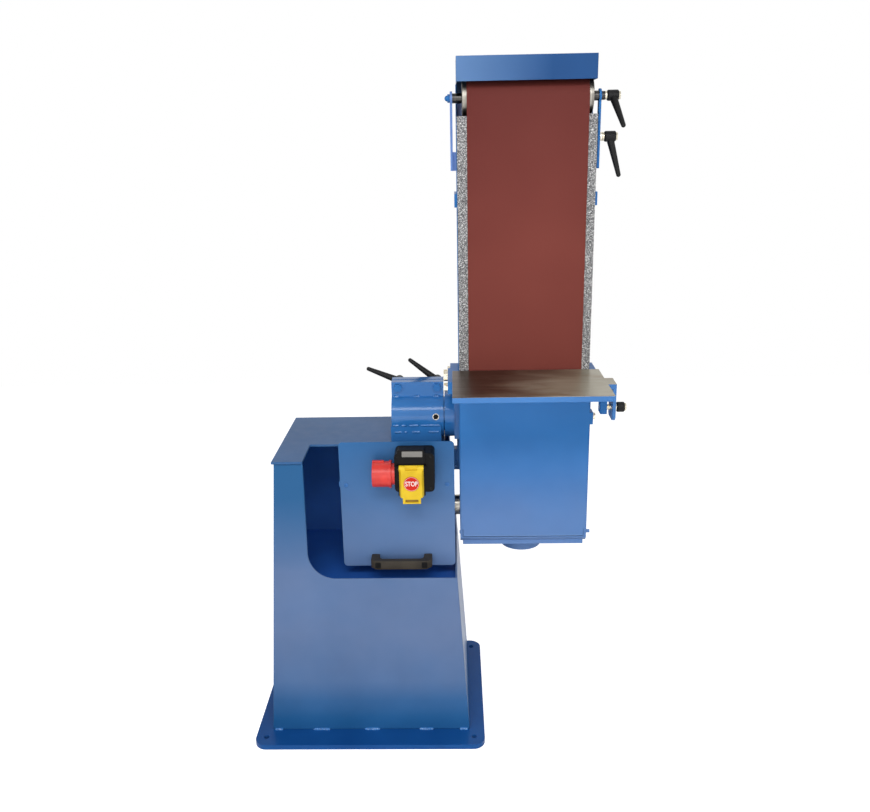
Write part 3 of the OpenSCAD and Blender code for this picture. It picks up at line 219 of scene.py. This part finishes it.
def groundTable():
    finish, tree, shader = newFinish("groundTable")
    point = objectPoint(tree)
    place = axes(tree, point)
    low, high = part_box("table_plate")
    lines = noise(tree, objectPoint(tree, ground["lineStretch"]), 1, 5, 0.6)  # grinding marks from left to right
    cloud = noise(tree, objectPoint(tree, ground["cloudStretch"]), 1.4, 4, 0.6, 0.8)
    drops = noise(tree, objectPoint(tree, ground["dropStretch"]), 1, 3, 0.55, 0.6)
    steel = ramp(tree, cloud, [(0.30, srgb(*ground["worn"])), (0.62, srgb(*ground["bare"]))])
    steel = blendColour(tree, span(tree, drops, 0.56, 0.74, 0, 0.75), steel, srgb(*ground["stain"]))
    steel = blendColour(tree, span(tree, lines, 0.4, 0.75, 0, 0.28), steel, srgb(*ground["shine"]))
    ragged = ground["raggedReach"]
    reach = span(tree, place["X"], low.x, high.x, 0, 1)  # brown oxide skin, worn off towards the right
    reach = combine(tree, "ADD", reach, span(tree, place["Y"], high.y, low.y, 0, ground["frontReach"]))
    reach = combine(tree, "ADD", reach, span(tree, cloud, *midNoise, -ragged, ragged))
    skin = ramp(tree, reach, [(0.34, grey(0.92)), (0.62, grey(0.40)), (0.84, grey(0))])
    steel = blendColour(tree, skin, steel, srgb(*ground["patina"]))
    bare = combine(tree, "GREATER_THAN", place["Z"], high.z - ground["skinDepth"])  # only the ground face
    paint = ramp(tree, noise(tree, point, enamel["cloudScale"], 3),
                 list(zip(enamel["cloud"], (srgb(*enamel["deep"]), srgb(*enamel["light"])))))
    peel = noise(tree, point, enamel["peelScale"], 2)
    metal = span(tree, reach, 0.35, 0.80, 0.8, 0.35)
    plug(tree, shader, Base_Color=blendColour(tree, bare, paint, steel),
         Metallic=combine(tree, "MULTIPLY", bare, metal), Roughness=span(tree, lines, *midNoise, 0.30, 0.46),
         Coat_Weight=ground["coat"],
         Normal=bumpFrom(tree, combine(tree, "ADD", lines, peel), 0.18, ground["lineDepth"]))
    return finish


turning = dict(stretch=(900, 9, 9), patchScale=26, film=(112, 104, 92), depth=0.0002)


def turnedSteel(name, bright, dull, rough=(0.18, 0.36)):
    finish, tree, shader = newFinish(name)
    lines = noise(tree, objectPoint(tree, turning["stretch"]), 1, 4, 0.6)  # tool marks across the X axis
    film = noise(tree, objectPoint(tree), turning["patchScale"], 3, 0.6)
    colour = ramp(tree, lines, [(0.30, srgb(*dull)), (0.62, srgb(*bright))])
    colour = blendColour(tree, span(tree, film, 0.55, 0.8, 0, 0.35), colour, srgb(*turning["film"]))
    plug(tree, shader, Base_Color=colour, Metallic=1.0, Roughness=span(tree, film, *midNoise, *rough),
         Normal=bumpFrom(tree, lines, 0.12, turning["depth"]))
    return finish


zinc = dict(pale=(226, 220, 202), gold=(196, 172, 122), blush=(174, 156, 146), tintScale=90, pitScale=1600,
            pitDepth=0.0001)


def yellowZinc():
    finish, tree, shader = newFinish("yellowZinc")
    point = objectPoint(tree)
    tint = noise(tree, point, zinc["tintScale"], 3, 0.6, 0.7)
    colour = ramp(tree, tint, [(0.34, srgb(*zinc["gold"])), (0.52, srgb(*zinc["pale"])), (0.7, srgb(*zinc["blush"]))])
    pits = noise(tree, point, zinc["pitScale"], 2)
    plug(tree, shader, Base_Color=colour, Metallic=0.9, Roughness=span(tree, tint, *midNoise, 0.26, 0.42),
         Normal=bumpFrom(tree, pits, 0.15, zinc["pitDepth"]))
    return finish


moulding = dict(cloudScale=30, rubStretch=(30, 90, 60), rubScale=4)


def mouldedPlastic(name, colour, shade, rough, grainScale=1500, grainDepth=0.00008, scuff=(150, 146, 138),
                   scuffs=0.12, shine=0.45):
    finish, tree, shader = newFinish(name)
    point = objectPoint(tree)
    cloud = noise(tree, point, moulding["cloudScale"], 3)
    base = ramp(tree, cloud, [(0.3, srgb(*shade)), (0.7, srgb(*colour))])
    rub = noise(tree, objectPoint(tree, moulding["rubStretch"]), moulding["rubScale"], 5, 0.65)  # handling marks
    base = blendColour(tree, span(tree, rub, 0.60, 0.80, 0, scuffs), base, srgb(*scuff))
    grain = noise(tree, point, grainScale, 2, 0.6)
    plug(tree, shader, Base_Color=base, Roughness=span(tree, rub, *midNoise, *rough), Specular_IOR_Level=shine,
         Normal=bumpFrom(tree, grain, 0.4, grainDepth))
    return finish


finishes = {
    "blue_paint": blueEnamel(),
    "motor_iron": blueEnamel("motorEnamel", (46, 92, 150), (30, 68, 122)),
    "bright_steel": turnedSteel("turnedSteel", (176, 172, 164), (118, 116, 112)),
    "table_steel": groundTable(),
    "yellow_zinc": yellowZinc(),
    "black_lever": mouldedPlastic("blackPowderCoat", (18, 18, 19), (10, 10, 11), (0.42, 0.56), 2200, 0.00014,
                                  scuffs=0.06, shine=0.2),
    "black_plastic": mouldedPlastic("blackMoulding", (17, 16, 17), (10, 10, 11), (0.40, 0.58), 1300, 0.0001,
                                    scuffs=0.05, shine=0.1),
    "red_plastic": mouldedPlastic("redMoulding", (216, 54, 44), (192, 38, 34), (0.30, 0.44), 1200, 0.00005,
                                  (236, 120, 92)),
    "green_plastic": mouldedPlastic("greenMoulding", (34, 140, 62), (24, 112, 48), (0.30, 0.44)),
    "yellow_plastic": mouldedPlastic("yellowMoulding", (230, 196, 42), (210, 174, 26), (0.34, 0.48), 1200, 0.00005,
                                     (206, 170, 60), shine=0.25),
    "contact_brass": turnedSteel("pinBrass", (214, 184, 112), (166, 134, 70)),
    "graphite_cloth": graphiteCloth(),
    "abrasive": abrasiveCloth(),
    "lagging_rubber": mouldedPlastic("laggingRubber", (34, 34, 35), (20, 20, 21), (0.6, 0.8), 700, 0.0002),
}
whitePrint = mouldedPlastic("whitePrint", (244, 242, 238), (230, 228, 222), (0.35, 0.5), scuff=(190, 186, 180))
tabShade = mouldedPlastic("tabShade", (150, 118, 28), (128, 98, 22), (0.4, 0.55))
labelFoil = mouldedPlastic("labelFoil", (130, 127, 122), (112, 110, 107), (0.4, 0.55), 900, 0.00006)
leverBushSteel = turnedSteel("leverBushSteel", (212, 206, 188), (164, 156, 138))
weldEnamel = blueEnamel("weldEnamel", gloss=(0.10, 0.18), coat=1.0)
# painted highlight: a paler paint for the cover's hem
hemHighlightEnamel = blueEnamel("hemHighlightEnamel", (70, 138, 206), (60, 126, 194), coat=0.5)
swivelEnamel = blueEnamel("swivelEnamel", gloss=(0.18, 0.26), coat=0.4)
# painted shade: the pedestal gets a darker copy of the blue paint
pedestalShadedPaint = ((38, 93, 146), (28, 82, 132))
pedestalShadedEnamel = blueEnamel("pedestalShadedEnamel", *pedestalShadedPaint)
frontWashes = (("Z", 0.42, 0.60, 0.9, (36, 91, 139)),)  # less of the painted floor reflection beside the bay
coverTopLight = (("Z", 0.69, 0.79, 0.25, (84, 160, 236)),)  # painted light: paler towards the top, under the table
hoodLow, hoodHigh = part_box("hood")
hoodLeftHighlight = (("X", hoodHigh.x - 90 * mm, hoodLow.x, 0.42, (128, 166, 214)),)  # painted highlight: paler on the left
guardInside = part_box("rear_guard")[1].y - 2 * mm  # front of the sheet at the back
guardInsideLight = (("Y", guardInside - 0.9 * mm, guardInside - 0.8 * mm, 1, (172, 192, 246)),  # painted light: pale on that shaded inner face only
               ("Y", guardInside + 0.8 * mm, guardInside + 0.9 * mm, 1, enamel["light"]))
ownFinish = {
    # painted shade: a darker copy of the blue paint for the base plate
    "base_plate": blueEnamel("baseShadedEnamel", (24, 84, 150), (16, 72, 136)),
    "pedestal_front": blueEnamel("frontShadedEnamel", *pedestalShadedPaint, washes=frontWashes),
    "pedestal_left_wall": pedestalShadedEnamel,
    "pedestal_right_wall": pedestalShadedEnamel,
    "pedestal_top": pedestalShadedEnamel,
    # painted light: brighter, bluer copies of the paint inside the bay, standing in for blue bounce light in its shade
    "pedestal_back_wall": blueEnamel("backBounceEnamel", (36, 98, 182), (28, 86, 166), sheenShare=0.2),
    "motor_bay_floor": blueEnamel("bayBounceEnamel", (32, 96, 190), (26, 84, 174), sheenShare=0.1),
    "swivel_clamp_tube": swivelEnamel,
    "swivel_spindle": swivelEnamel,
    "switch_panel": blueEnamel("panelEnamel", (42, 102, 158), (32, 92, 146)),
    "front_cover": blueEnamel("coverLitEnamel", washes=coverTopLight),
    "cover_hinge_pin": finishes["blue_paint"],
    "rear_guard": blueEnamel("guardLitEnamel", washes=guardInsideLight),
    # painted shade: the hood gets a darker copy of the blue paint
    "hood": blueEnamel("hoodShadedEnamel", (20, 74, 130), (14, 65, 118), washes=hoodLeftHighlight),
    # painted highlight: the left bracket is paler than the right
    "roller_bracket_left": blueEnamel("leftBracketLitEnamel", (112, 144, 204), (100, 132, 192)),
    "roller_shaft": turnedSteel("oiledShaft", (74, 72, 70), (38, 38, 38)),
    "idler_roller": turnedSteel("rollerSteel", (150, 146, 138), (98, 95, 90), rough=(0.30, 0.48)),
    "stop_disc": mouldedPlastic("signRed", (212, 42, 24), (198, 34, 20), (0.4, 0.55), shine=0.15),
    # painted light: the handle's warm grey-brown stands in for sunlight on its front
    "panel_handle": mouldedPlastic("handleMoulding", (62, 56, 48), (50, 45, 39), (0.46, 0.62), 900, 0.00012,
                                   scuffs=0.08, shine=0.2),
}
print("finishes:", len(bpy.data.materials))


# CAD nodes: soften the edges and give each its finish

edgeRadius = dict(  # mm
    pedestal_front=2.4, pedestal_left_wall=2.4, pedestal_right_wall=2.4, pedestal_back_wall=2.4,
    pedestal_top=2.0, swivel_clamp_tube=1.2, swivel_saddle=1.2, swivel_spindle=1.2, hood=0.9, rear_guard=0.8,
    front_cover=0.8, switch_panel=1.2, panel_handle=2.4, switch_box=2.2, switch_flap=0.9, table_plate=0.8,
    platen_pad=0.3, sanding_belt=0.15, inlet_shroud=0.8, stop_disc=0.3, idler_roller=1.0, motor_housing=0.5)
edgeSet = dict(plain=0.6, segments=2, angle=38, join=0.02)  # plain: radius where none is given above
sharpNodes = ("base_plate", "side_plate_left", "side_plate_right")  # sheared plates with flat faces
slotOf = {part["node"]: part["material_slot"] for part in frame["record"]["subparts"]}


def dressNode(name):
    node = nodes[name]
    node.data.materials.clear()
    node.data.materials.append(ownFinish.get(name, finishes[slotOf[name]]))
    weld = node.modifiers.new("join", "WELD")
    weld.merge_threshold = edgeSet["join"] * mm
    if name in sharpNodes:
        return
    edge = node.modifiers.new("edge", "BEVEL")
    edge.width = edgeRadius.get(name, edgeSet["plain"]) * mm
    edge.segments = edgeSet["segments"]
    edge.limit_method = "ANGLE"
    edge.angle_limit = math.radians(edgeSet["angle"])
    edge.use_clamp_overlap = True
    edge.miter_outer = "MITER_ARC"
    even = node.modifiers.new("even", "WEIGHTED_NORMAL")
    even.keep_sharp = True
    for face in node.data.polygons:
        face.use_smooth = True


for name in nodes:
    dressNode(name)
print("dressed", len(nodes), "nodes")


# mesh helpers

def addPiece(name, mesh, finish, body, smooth=35):
    piece = bpy.data.objects.new(name, mesh)
    bpy.context.scene.collection.objects.link(piece)
    mesh.materials.append(finish)
    mesh.shade_smooth()
    mesh.set_sharp_from_angle(angle=math.radians(smooth))
    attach(piece, body)


def circleRing(radius, height, count=32):
    return [Vector((radius * math.cos(a), radius * math.sin(a), height))
            for a in (2 * math.pi * i / count for i in range(count))]


hexCount = 24  # points of a hexagon's ring, and of a circle that lofts to it


def hexRing(acrossFlats, height):
    ring = []
    for i in range(hexCount):
        angle = 2 * math.pi * i / hexCount
        offset = (angle % (math.pi / 3)) - math.pi / 6
        radius = acrossFlats / 2 / math.cos(offset)
        ring.append(Vector((radius * math.cos(angle), radius * math.sin(angle), height)))
    return ring


def axisPlace(origin, direction):  # turns local Z to the direction
    turn = Vector(direction).to_track_quat("Z", "Y").to_matrix().to_4x4()
    return Matrix.Translation(Vector(origin)) @ turn


def frontPlace(x, y, z, tilt=90):  # local Y points up and local Z to the front
    return Matrix.Translation((x, y, z)) @ Matrix.Rotation(math.radians(tilt), 4, "X")


def loft(name, rings, place=Matrix.Identity(4), capStart=True, capEnd=True):
    shape = bmesh.new()
    rows = [[shape.verts.new(place @ point) for point in ring] for ring in rings]
    count = len(rows[0])
    for low, high in zip(rows, rows[1:]):
        for i in range(count):
            j = (i + 1) % count
            shape.faces.new((low[i], low[j], high[j], high[i]))
    if capStart:
        shape.faces.new(list(reversed(rows[0])))
    if capEnd:
        shape.faces.new(rows[-1])
    bmesh.ops.recalc_face_normals(shape, faces=shape.faces)
    mesh = bpy.data.meshes.new(name)
    shape.to_mesh(mesh)
    shape.free()
    return mesh


plateSet = dict(arcSteps=6, edge=0.3)


def roundedPlate(name, settings, place):  # plate in local XY, thickness along Z
    width, height, depth, corner = (settings[key] * mm for key in ("width", "height", "depth", "corner"))
    edge = min(plateSet["edge"] * mm, depth / 3)
    steps = plateSet["arcSteps"]

    def ringAt(grow, level):
        return [Vector((sx * (width / 2 - corner) + (corner + grow) * math.cos(a),
                        sy * (height / 2 - corner) + (corner + grow) * math.sin(a), level))
                for sx, sy, start in ((1, 1, 0), (-1, 1, 90), (-1, -1, 180), (1, -1, 270))
                for a in (math.radians(start + 90 * k / steps) for k in range(steps + 1))]

    return loft(name, [ringAt(0, 0), ringAt(0, depth - edge), ringAt(-edge, depth)], place)


# weld seams: rippled beads that stand out of the joint

weldSet = dict(width=6.4, height=4.0, ripple=2.1, rippleShare=0.20, wobble=0.11, drift=0.3, endPower=7, endLeast=0.08,
               sides=10, step=0.7, smooth=60)


def weldBead(name, start, end, outward, width=weldSet["width"], height=weldSet["height"]):
    dice = random.Random(name)
    start, end, outward = Vector(start), Vector(end), Vector(outward).normalized()
    along = (end - start).normalized()
    across = along.cross(outward).normalized()
    length = (end - start).length
    stations = max(8, int(length / (weldSet["step"] * mm)))
    share, drift = weldSet["rippleShare"], weldSet["drift"]
    rings = []
    for i in range(stations + 1):
        t = i / stations
        taper = max(weldSet["endLeast"], 1 - abs(2 * t - 1) ** weldSet["endPower"]) ** 0.5
        wave = 1 - share + share * abs(math.sin(math.pi * t * length / (weldSet["ripple"] * mm)))
        size = taper * wave * (1 + dice.uniform(-1, 1) * weldSet["wobble"])
        centre = start.lerp(end, t) + across * dice.uniform(-drift, drift) * mm
        ring = []
        for k in range(weldSet["sides"]):
            angle = 2 * math.pi * k / weldSet["sides"]
            ring.append(centre + across * math.cos(angle) * width / 2 * mm * size
                        + outward * math.sin(angle) * height / 2 * mm * size)
        rings.append(ring)
    addPiece(name, loft(name, rings), weldEnamel, "pedestal", weldSet["smooth"])


tubeLow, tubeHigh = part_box("swivel_clamp_tube")
saddleLow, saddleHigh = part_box("swivel_saddle")
axisY = (saddleLow.y + saddleHigh.y) / 2
tubeR = (tubeHigh.y - tubeLow.y) / 2
axisZ = tubeLow.z + tubeR

earSet = dict(front=22.5, starts=(3, 49, 96), lengths=(15, 17, 15), width=9, height=6)  # from the axis and the left end
for side, label in ((-1, "Front"), (1, "Back")):
    y = axisY + side * earSet["front"] * mm
    z = axisZ + math.sqrt(tubeR ** 2 - (earSet["front"] * mm) ** 2)
    for i, (offset, length) in enumerate(zip(earSet["starts"], earSet["lengths"])):
        x = tubeLow.x + offset * mm
        weldBead(f"earWeld{label}{i}", (x, y, z), (x + length * mm, y, z), (0, side, 0.8),
                 earSet["width"], earSet["height"])

saddleSet = dict(rise=2, footRise=1, foot=((2, 14), (104, 116)),  # runs in mm from the tube's left end
                 rows=((0, ((3, 17), (22, 33), (40, 62), (66, 112))), (-16, ((6, 24), (28, 36), (46, 66), (84, 112)))))
for side, label, y in ((-1, "Front", saddleLow.y), (1, "Back", saddleHigh.y)):
    for row, (drop, runs) in enumerate(saddleSet["rows"]):
        z = saddleHigh.z + (saddleSet["rise"] + drop) * mm
        for i, (x0, x1) in enumerate(runs):
            weldBead(f"saddleWeld{label}{row}{i}", (tubeLow.x + x0 * mm, y, z), (tubeLow.x + x1 * mm, y, z),
                     (0, side, 0.3))
    z = saddleLow.z + saddleSet["footRise"] * mm
    for i, (x0, x1) in enumerate(saddleSet["foot"]):
        weldBead(f"saddleFootWeld{label}{i}", (tubeLow.x + x0 * mm, y, z), (tubeLow.x + x1 * mm, y, z), (0, side, 0.8))

footSet = dict(centres=(-220, -118, 3, 132, 221), lengths=(20, 40, 37, 34, 20), rise=1, width=10, height=7)
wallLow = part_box("pedestal_front")[0]
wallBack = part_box("pedestal_back_wall")[1].y
for side, label, y in ((-1, "Front", wallLow.y), (1, "Back", wallBack)):
    z = wallLow.z + footSet["rise"] * mm
    for i, (centre, length) in enumerate(zip(footSet["centres"], footSet["lengths"])):
        x, half = centre * mm, length / 2 * mm
        weldBead(f"footWeld{label}{i}", (x - half, y, z), (x + half, y, z), (0, side, 1),
                 footSet["width"], footSet["height"])
print("weld beads done")


# set screw: a black liner in the socket of its end, painted shade in the recess

screwSet = dict(inset=18, angle=9, rim=11.1, socket=10.6, mouth=54.7, floor=43.4)  # mm, degrees, radii from the axis
screwPlace = frontPlace(tubeHigh.x - screwSet["inset"] * mm, axisY, axisZ, 90 - screwSet["angle"])
socketRings = [hexRing(screwSet[flats] * mm, screwSet[level] * mm)
               for flats, level in (("rim", "mouth"), ("socket", "mouth"), ("socket", "floor"))]
socketMesh = loft("setScrewRecessShade", socketRings, screwPlace, False)
addPiece("setScrewRecessShade", socketMesh, finishes["black_lever"], "pedestal")
print("set screw done")


# clamp levers: bright bush at the seat and a cap screw in the hub's end

leverSet = dict(bushR=9.0, bushLen=4.4, seatInset=0.1, edge=0.4, fall=0.5, screwR=8.6, screwRise=3.2, screwSink=1,
                rimShare=0.6, socket=5.0, socketDepth=3.0)
leverPlaces = {  # node: (body, axis direction, height of the hub in mm)
    "clamp_lever_left": ("left_clamp_lever", (0, 1, 0), 29),
    "clamp_lever_right": ("right_clamp_lever", (0, 1, 0), 29),
    "roller_lever": ("roller_clamp_lever", (1, 0, 0), 29),
    "tension_lever": ("tension_clamp_lever", (1, 0, 0), 29),
    "table_lever": ("table_clamp_lever", (1, 0, 0), 22),
}
jointOf = {joint["child"]: joint for joint in frame["joints"]}


def leverTrim(nodeName, body, direction, hub):
    seat = Vector(jointOf[body]["pos_m"])
    axis = direction.index(1)
    seat[axis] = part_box(nodeName)[0][axis]
    place = axisPlace(seat, direction)
    bushR, bushLen, edge, fall = (leverSet[key] * mm for key in ("bushR", "bushLen", "edge", "fall"))
    bush = loft(f"{nodeName}Bush", [circleRing(bushR - edge, leverSet["seatInset"] * mm), circleRing(bushR, fall),
                                    circleRing(bushR, bushLen - edge), circleRing(bushR - fall, bushLen)], place)
    addPiece(f"{nodeName}Bush", bush, leverBushSteel, body)
    screwR, rise, socket = (leverSet[key] * mm for key in ("screwR", "screwRise", "socket"))
    hubTop = hub * mm
    screwTop = hubTop + rise
    screw = loft(f"{nodeName}Screw", [circleRing(screwR, hubTop - leverSet["screwSink"] * mm, hexCount),
                                      circleRing(screwR, hubTop + rise * leverSet["rimShare"], hexCount),
                                      circleRing(screwR - edge, screwTop, hexCount), hexRing(socket, screwTop),
                                      hexRing(socket, screwTop - leverSet["socketDepth"] * mm)], place)
    addPiece(f"{nodeName}Screw", screw, leverBushSteel, body)


for nodeName, place in leverPlaces.items():
    leverTrim(nodeName, *place)
print("lever trim done")


# switch: stop sign, bare label strip, screws and the back of the flap's tab

discLow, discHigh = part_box("stop_disc")
discMid = (discLow + discHigh) / 2
signSet = dict(letterHeight=11.4, letterWidth=27.0, fontScale=1.36, weight=0.24, extrude=0.12, spacing=0.98, lift=0.25,
               ringOut=0.94, ringIn=0.91, ringLow=0.02, ringHigh=0.22, ringCount=64)


def stopLettering():
    curve = bpy.data.curves.new("stopLettering", "FONT")
    curve.body = "STOP"
    curve.align_x = "CENTER"
    curve.align_y = "CENTER"
    curve.size = signSet["letterHeight"] * mm * signSet["fontScale"]
    curve.extrude = signSet["extrude"] * mm
    curve.offset = signSet["weight"] * mm  # heavier strokes
    curve.space_character = signSet["spacing"]
    sign = bpy.data.objects.new("stopLetteringCurve", curve)
    bpy.context.scene.collection.objects.link(sign)
    bpy.context.view_layer.update()
    mesh = bpy.data.meshes.new_from_object(sign.evaluated_get(bpy.context.evaluated_depsgraph_get()))
    spread = [[getattr(point.co, axis) for point in mesh.vertices] for axis in "xy"]
    wide, tall = (max(values) - min(values) for values in spread)
    mesh.transform(Matrix.Diagonal((signSet["letterWidth"] * mm / wide, signSet["letterHeight"] * mm / tall, 1, 1)))
    mesh.transform(frontPlace(discMid.x, discLow.y - signSet["lift"] * mm, discMid.z))
    mesh.name = "stopLettering"
    bpy.data.objects.remove(sign)
    addPiece("stopLettering", mesh, whitePrint, "flap")


stopLettering()
discR = (discHigh.x - discLow.x) / 2
ringPlace = axisPlace((discMid.x, discLow.y, discMid.z), (0, -1, 0))
ringRings = [circleRing(discR * signSet[size], signSet[level] * mm, signSet["ringCount"]) for size, level in
             (("ringIn", "ringLow"), ("ringIn", "ringHigh"), ("ringOut", "ringHigh"), ("ringOut", "ringLow"))]
addPiece("stopRing", loft("stopRing", ringRings, ringPlace, False, False), whitePrint, "flap")

boxLow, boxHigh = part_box("switch_box")
flapLow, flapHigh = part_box("switch_flap")
boxFace = flapHigh.y + 0.3 * mm
labelSet = dict(width=45, height=13, depth=0.5, corner=0.8, drop=9.5, shift=2.5, out=4)  # drop from the box's top
labelPlace = frontPlace(discMid.x + labelSet["shift"] * mm, boxFace - labelSet["out"] * mm,
                        boxHigh.z - labelSet["drop"] * mm)
addPiece("labelStrip", roundedPlate("labelStrip", labelSet, labelPlace), labelFoil, "swing_unit")

screwHead = dict(profile=((1, 0), (1, 0.18), (0.86, 0.38), (0.62, 0.48)), socket=0.8, mouth=0.48,
                 floor=0.12)  # shares of its radius


def socketScrew(name, centre, radius, finish):  # low domed head that faces the front
    rings = [circleRing(radius * out, radius * up, hexCount) for out, up in screwHead["profile"]]
    rings += [hexRing(radius * screwHead["socket"], radius * screwHead[level]) for level in ("mouth", "floor")]
    addPiece(name, loft(name, rings, axisPlace(centre, (0, -1, 0))), finish, "swing_unit")


boxScrewSet = dict(inset=8, radius=3.2, frame=9, height=91)  # frame: height of the label frame over the box
inset = boxScrewSet["inset"] * mm
boxTop = boxHigh.z - boxScrewSet["frame"] * mm
boxFloor = boxTop - boxScrewSet["height"] * mm
boxCorners = [(x, z) for z in (boxTop - inset, boxFloor + inset) for x in (boxLow.x + inset, boxHigh.x - inset)]
for i, (x, z) in enumerate(boxCorners):
    socketScrew(f"boxScrew{i}", (x, boxFace, z), boxScrewSet["radius"] * mm, finishes["black_lever"])

panelLow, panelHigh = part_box("switch_panel")
panelScrewSet = dict(left=13.5, right=17, rise=203.5, radius=5)
panelScrewZ = panelLow.z + panelScrewSet["rise"] * mm
for i, x in enumerate((panelLow.x + panelScrewSet["left"] * mm, panelHigh.x - panelScrewSet["right"] * mm)):
    socketScrew(f"panelScrew{i}", (x, panelLow.y, panelScrewZ), panelScrewSet["radius"] * mm, finishes["blue_paint"])

tabSet = dict(width=33, height=9.5, depth=0.8, corner=1.2, rise=6.5, behind=4.0)  # closes the slot of the flap's tab, in a darker yellow that is painted shade inside the slot
tabPlace = frontPlace(discMid.x, flapLow.y + tabSet["behind"] * mm + tabSet["depth"] * mm,
                      flapLow.z + tabSet["rise"] * mm)
addPiece("flapTabBack", roundedPlate("flapTabBack", tabSet, tabPlace), tabShade, "flap")
print("switch trim done")


# bridge handle: black covers over its two screws

handleLow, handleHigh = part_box("panel_handle")
capSet = dict(width=13, height=15, depth=0.8, corner=2.5, inset=17, sink=0.1)
capY, capZ = handleLow.y + capSet["sink"] * mm, (handleLow.z + handleHigh.z) / 2
for i, x in enumerate((handleLow.x + capSet["inset"] * mm, handleHigh.x - capSet["inset"] * mm)):
    capMesh = roundedPlate(f"handleCover{i}", capSet, frontPlace(x, capY, capZ))
    addPiece(f"handleCover{i}", capMesh, finishes["black_plastic"], "swing_unit")
print("handle trim done")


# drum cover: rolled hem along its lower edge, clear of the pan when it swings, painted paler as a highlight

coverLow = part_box("front_cover")[0]
panLow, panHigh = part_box("housing_pan")
hemSet = dict(outer=((0.05, 0.3), (0.15, -1.0), (0.6, -2.2), (1.5, -3.1), (2.6, -3.6)),  # mm back and up
              inner=((2.9, -2.4), (2.2, -2.1), (1.7, -1.5), (1.3, -0.7), (1.2, 0.3)), inset=0.6, edge=0.5, smooth=50)
hemEnds = (panLow.x + hemSet["inset"] * mm, panHigh.x - hemSet["inset"] * mm)
coverEdge = coverLow.z + hemSet["edge"] * mm  # the sheet ends over the knuckle's lowest point
hemRings = [[Vector((x, coverLow.y + back * mm, coverEdge + rise * mm))
             for back, rise in hemSet["outer"] + hemSet["inner"]] for x in hemEnds]
addPiece("coverHem", loft("coverHem", hemRings), hemHighlightEnamel, "cover", hemSet["smooth"])
print("cover hem done")


# floor, light and camera

def seenRays(tree):  # 1 for what the camera, a reflection or a clear piece sees
    paths = addNode(tree, "ShaderNodeLightPath").outputs
    return combine(tree, "MAXIMUM", combine(tree, "MAXIMUM", paths["Is Camera Ray"], paths["Is Glossy Ray"]),
                   paths["Is Transmission Ray"])


floorSet = dict(reach=3, drop=0.4, pale=(0.80, 0.84), cloudScale=1.2, rough=0.9, specular=0.1, glow=0.8)


def paleFloor():
    mesh = bpy.data.meshes.new("floor")
    reach = floorSet["reach"]
    corners = [(-reach, -reach, 0), (reach, -reach, 0), (reach, reach, 0), (-reach, reach, 0)]
    mesh.from_pydata(corners, [], [(0, 1, 2, 3)])
    floor = bpy.data.objects.new("floor", mesh)
    floor.location.z = -floorSet["drop"] * mm
    bpy.context.scene.collection.objects.link(floor)
    finish, tree, shader = newFinish("paleFloor")
    cloud = noise(tree, objectPoint(tree), floorSet["cloudScale"], 2)
    pale = ramp(tree, cloud, list(zip(midNoise, map(grey, floorSet["pale"]))))
    plug(tree, shader, Base_Color=pale, Roughness=floorSet["rough"], Specular_IOR_Level=floorSet["specular"],
         Emission_Color=grey(1), Emission_Strength=combine(tree, "MULTIPLY", seenRays(tree), floorSet["glow"]))
    mesh.materials.append(finish)


worldSet = dict(seen=1.0, fill=0.26)


def studioWorld():
    world = bpy.data.worlds.new("studio")
    bpy.context.scene.world = world
    world.use_nodes = True
    tree = world.node_tree
    background = tree.nodes["Background"]
    strength = span(tree, seenRays(tree), 0, 1, worldSet["fill"], worldSet["seen"])
    plug(tree, background, Color=grey(1), Strength=strength)


lamps = {  # watts, metres
    "keyStrip": dict(place=(0.0, -2.0, 2.5), aim=(0.1, 0, 0.77), size=(1.9, 0.55), power=31),
    "frontFill": dict(place=(0.25, -3.1, 1.4), aim=(0.25, 0, 0.9), size=(3.2, 2.4), power=23),
    "lowFill": dict(place=(0.1, -2.6, 0.55), aim=(0.05, 0.1, 0.45), size=(2.0, 0.9), power=8),
    "leftFill": dict(place=(-3.0, -2.4, 1.8), aim=(0.1, 0, 0.7), size=(2.4, 2.0), power=27),
    "rightFill": dict(place=(3.0, -2.0, 1.8), aim=(0.3, 0, 0.9), size=(2.0, 2.0), power=20),
    "backFill": dict(place=(0.6, 2.4, 3.4), aim=(0.2, 0, 0.8), size=(2.4, 2.0), power=14),
}


def addLamp(name, place, aim, size, power):
    light = bpy.data.lights.new(name, "AREA")
    light.energy = power
    light.shape = "RECTANGLE"
    light.size, light.size_y = size
    lamp = bpy.data.objects.new(name, light)
    lamp.location = place
    lamp.rotation_euler = (Vector(aim) - Vector(place)).to_track_quat("-Z", "Y").to_euler()
    bpy.context.scene.collection.objects.link(lamp)


cameraSet = dict(place=(0.2100, -1.9218, 1.3548), pitch=17.0, yaw=1.4, roll=-1.1, sensor=36,
                 focal=870.8, width=870)  # focal length and picture width in pixels


def photoCamera():
    pitch, yaw, roll = (math.radians(cameraSet[key]) for key in ("pitch", "yaw", "roll"))
    forward = Vector((-math.sin(yaw) * math.cos(pitch), math.cos(yaw) * math.cos(pitch), -math.sin(pitch)))
    right = forward.cross(Vector((0, 0, 1))).normalized()
    up = right.cross(forward)
    tiltRight = right * math.cos(roll) + up * math.sin(roll)
    tiltUp = up * math.cos(roll) - right * math.sin(roll)
    data = bpy.data.cameras.new("photoCamera")
    data.sensor_width = cameraSet["sensor"]
    data.lens = cameraSet["sensor"] * cameraSet["focal"] / cameraSet["width"]
    camera = bpy.data.objects.new("photoCamera", data)
    turn = Matrix((tiltRight, tiltUp, -forward)).transposed().to_4x4()
    camera.matrix_world = Matrix.Translation(cameraSet["place"]) @ turn
    bpy.context.scene.collection.objects.link(camera)
    bpy.context.scene.camera = camera


paleFloor()
studioWorld()
for name, values in lamps.items():
    addLamp(name, **values)
photoCamera()
bpy.context.scene.view_settings.view_transform = "Standard"
print("floor, lamps and camera done")
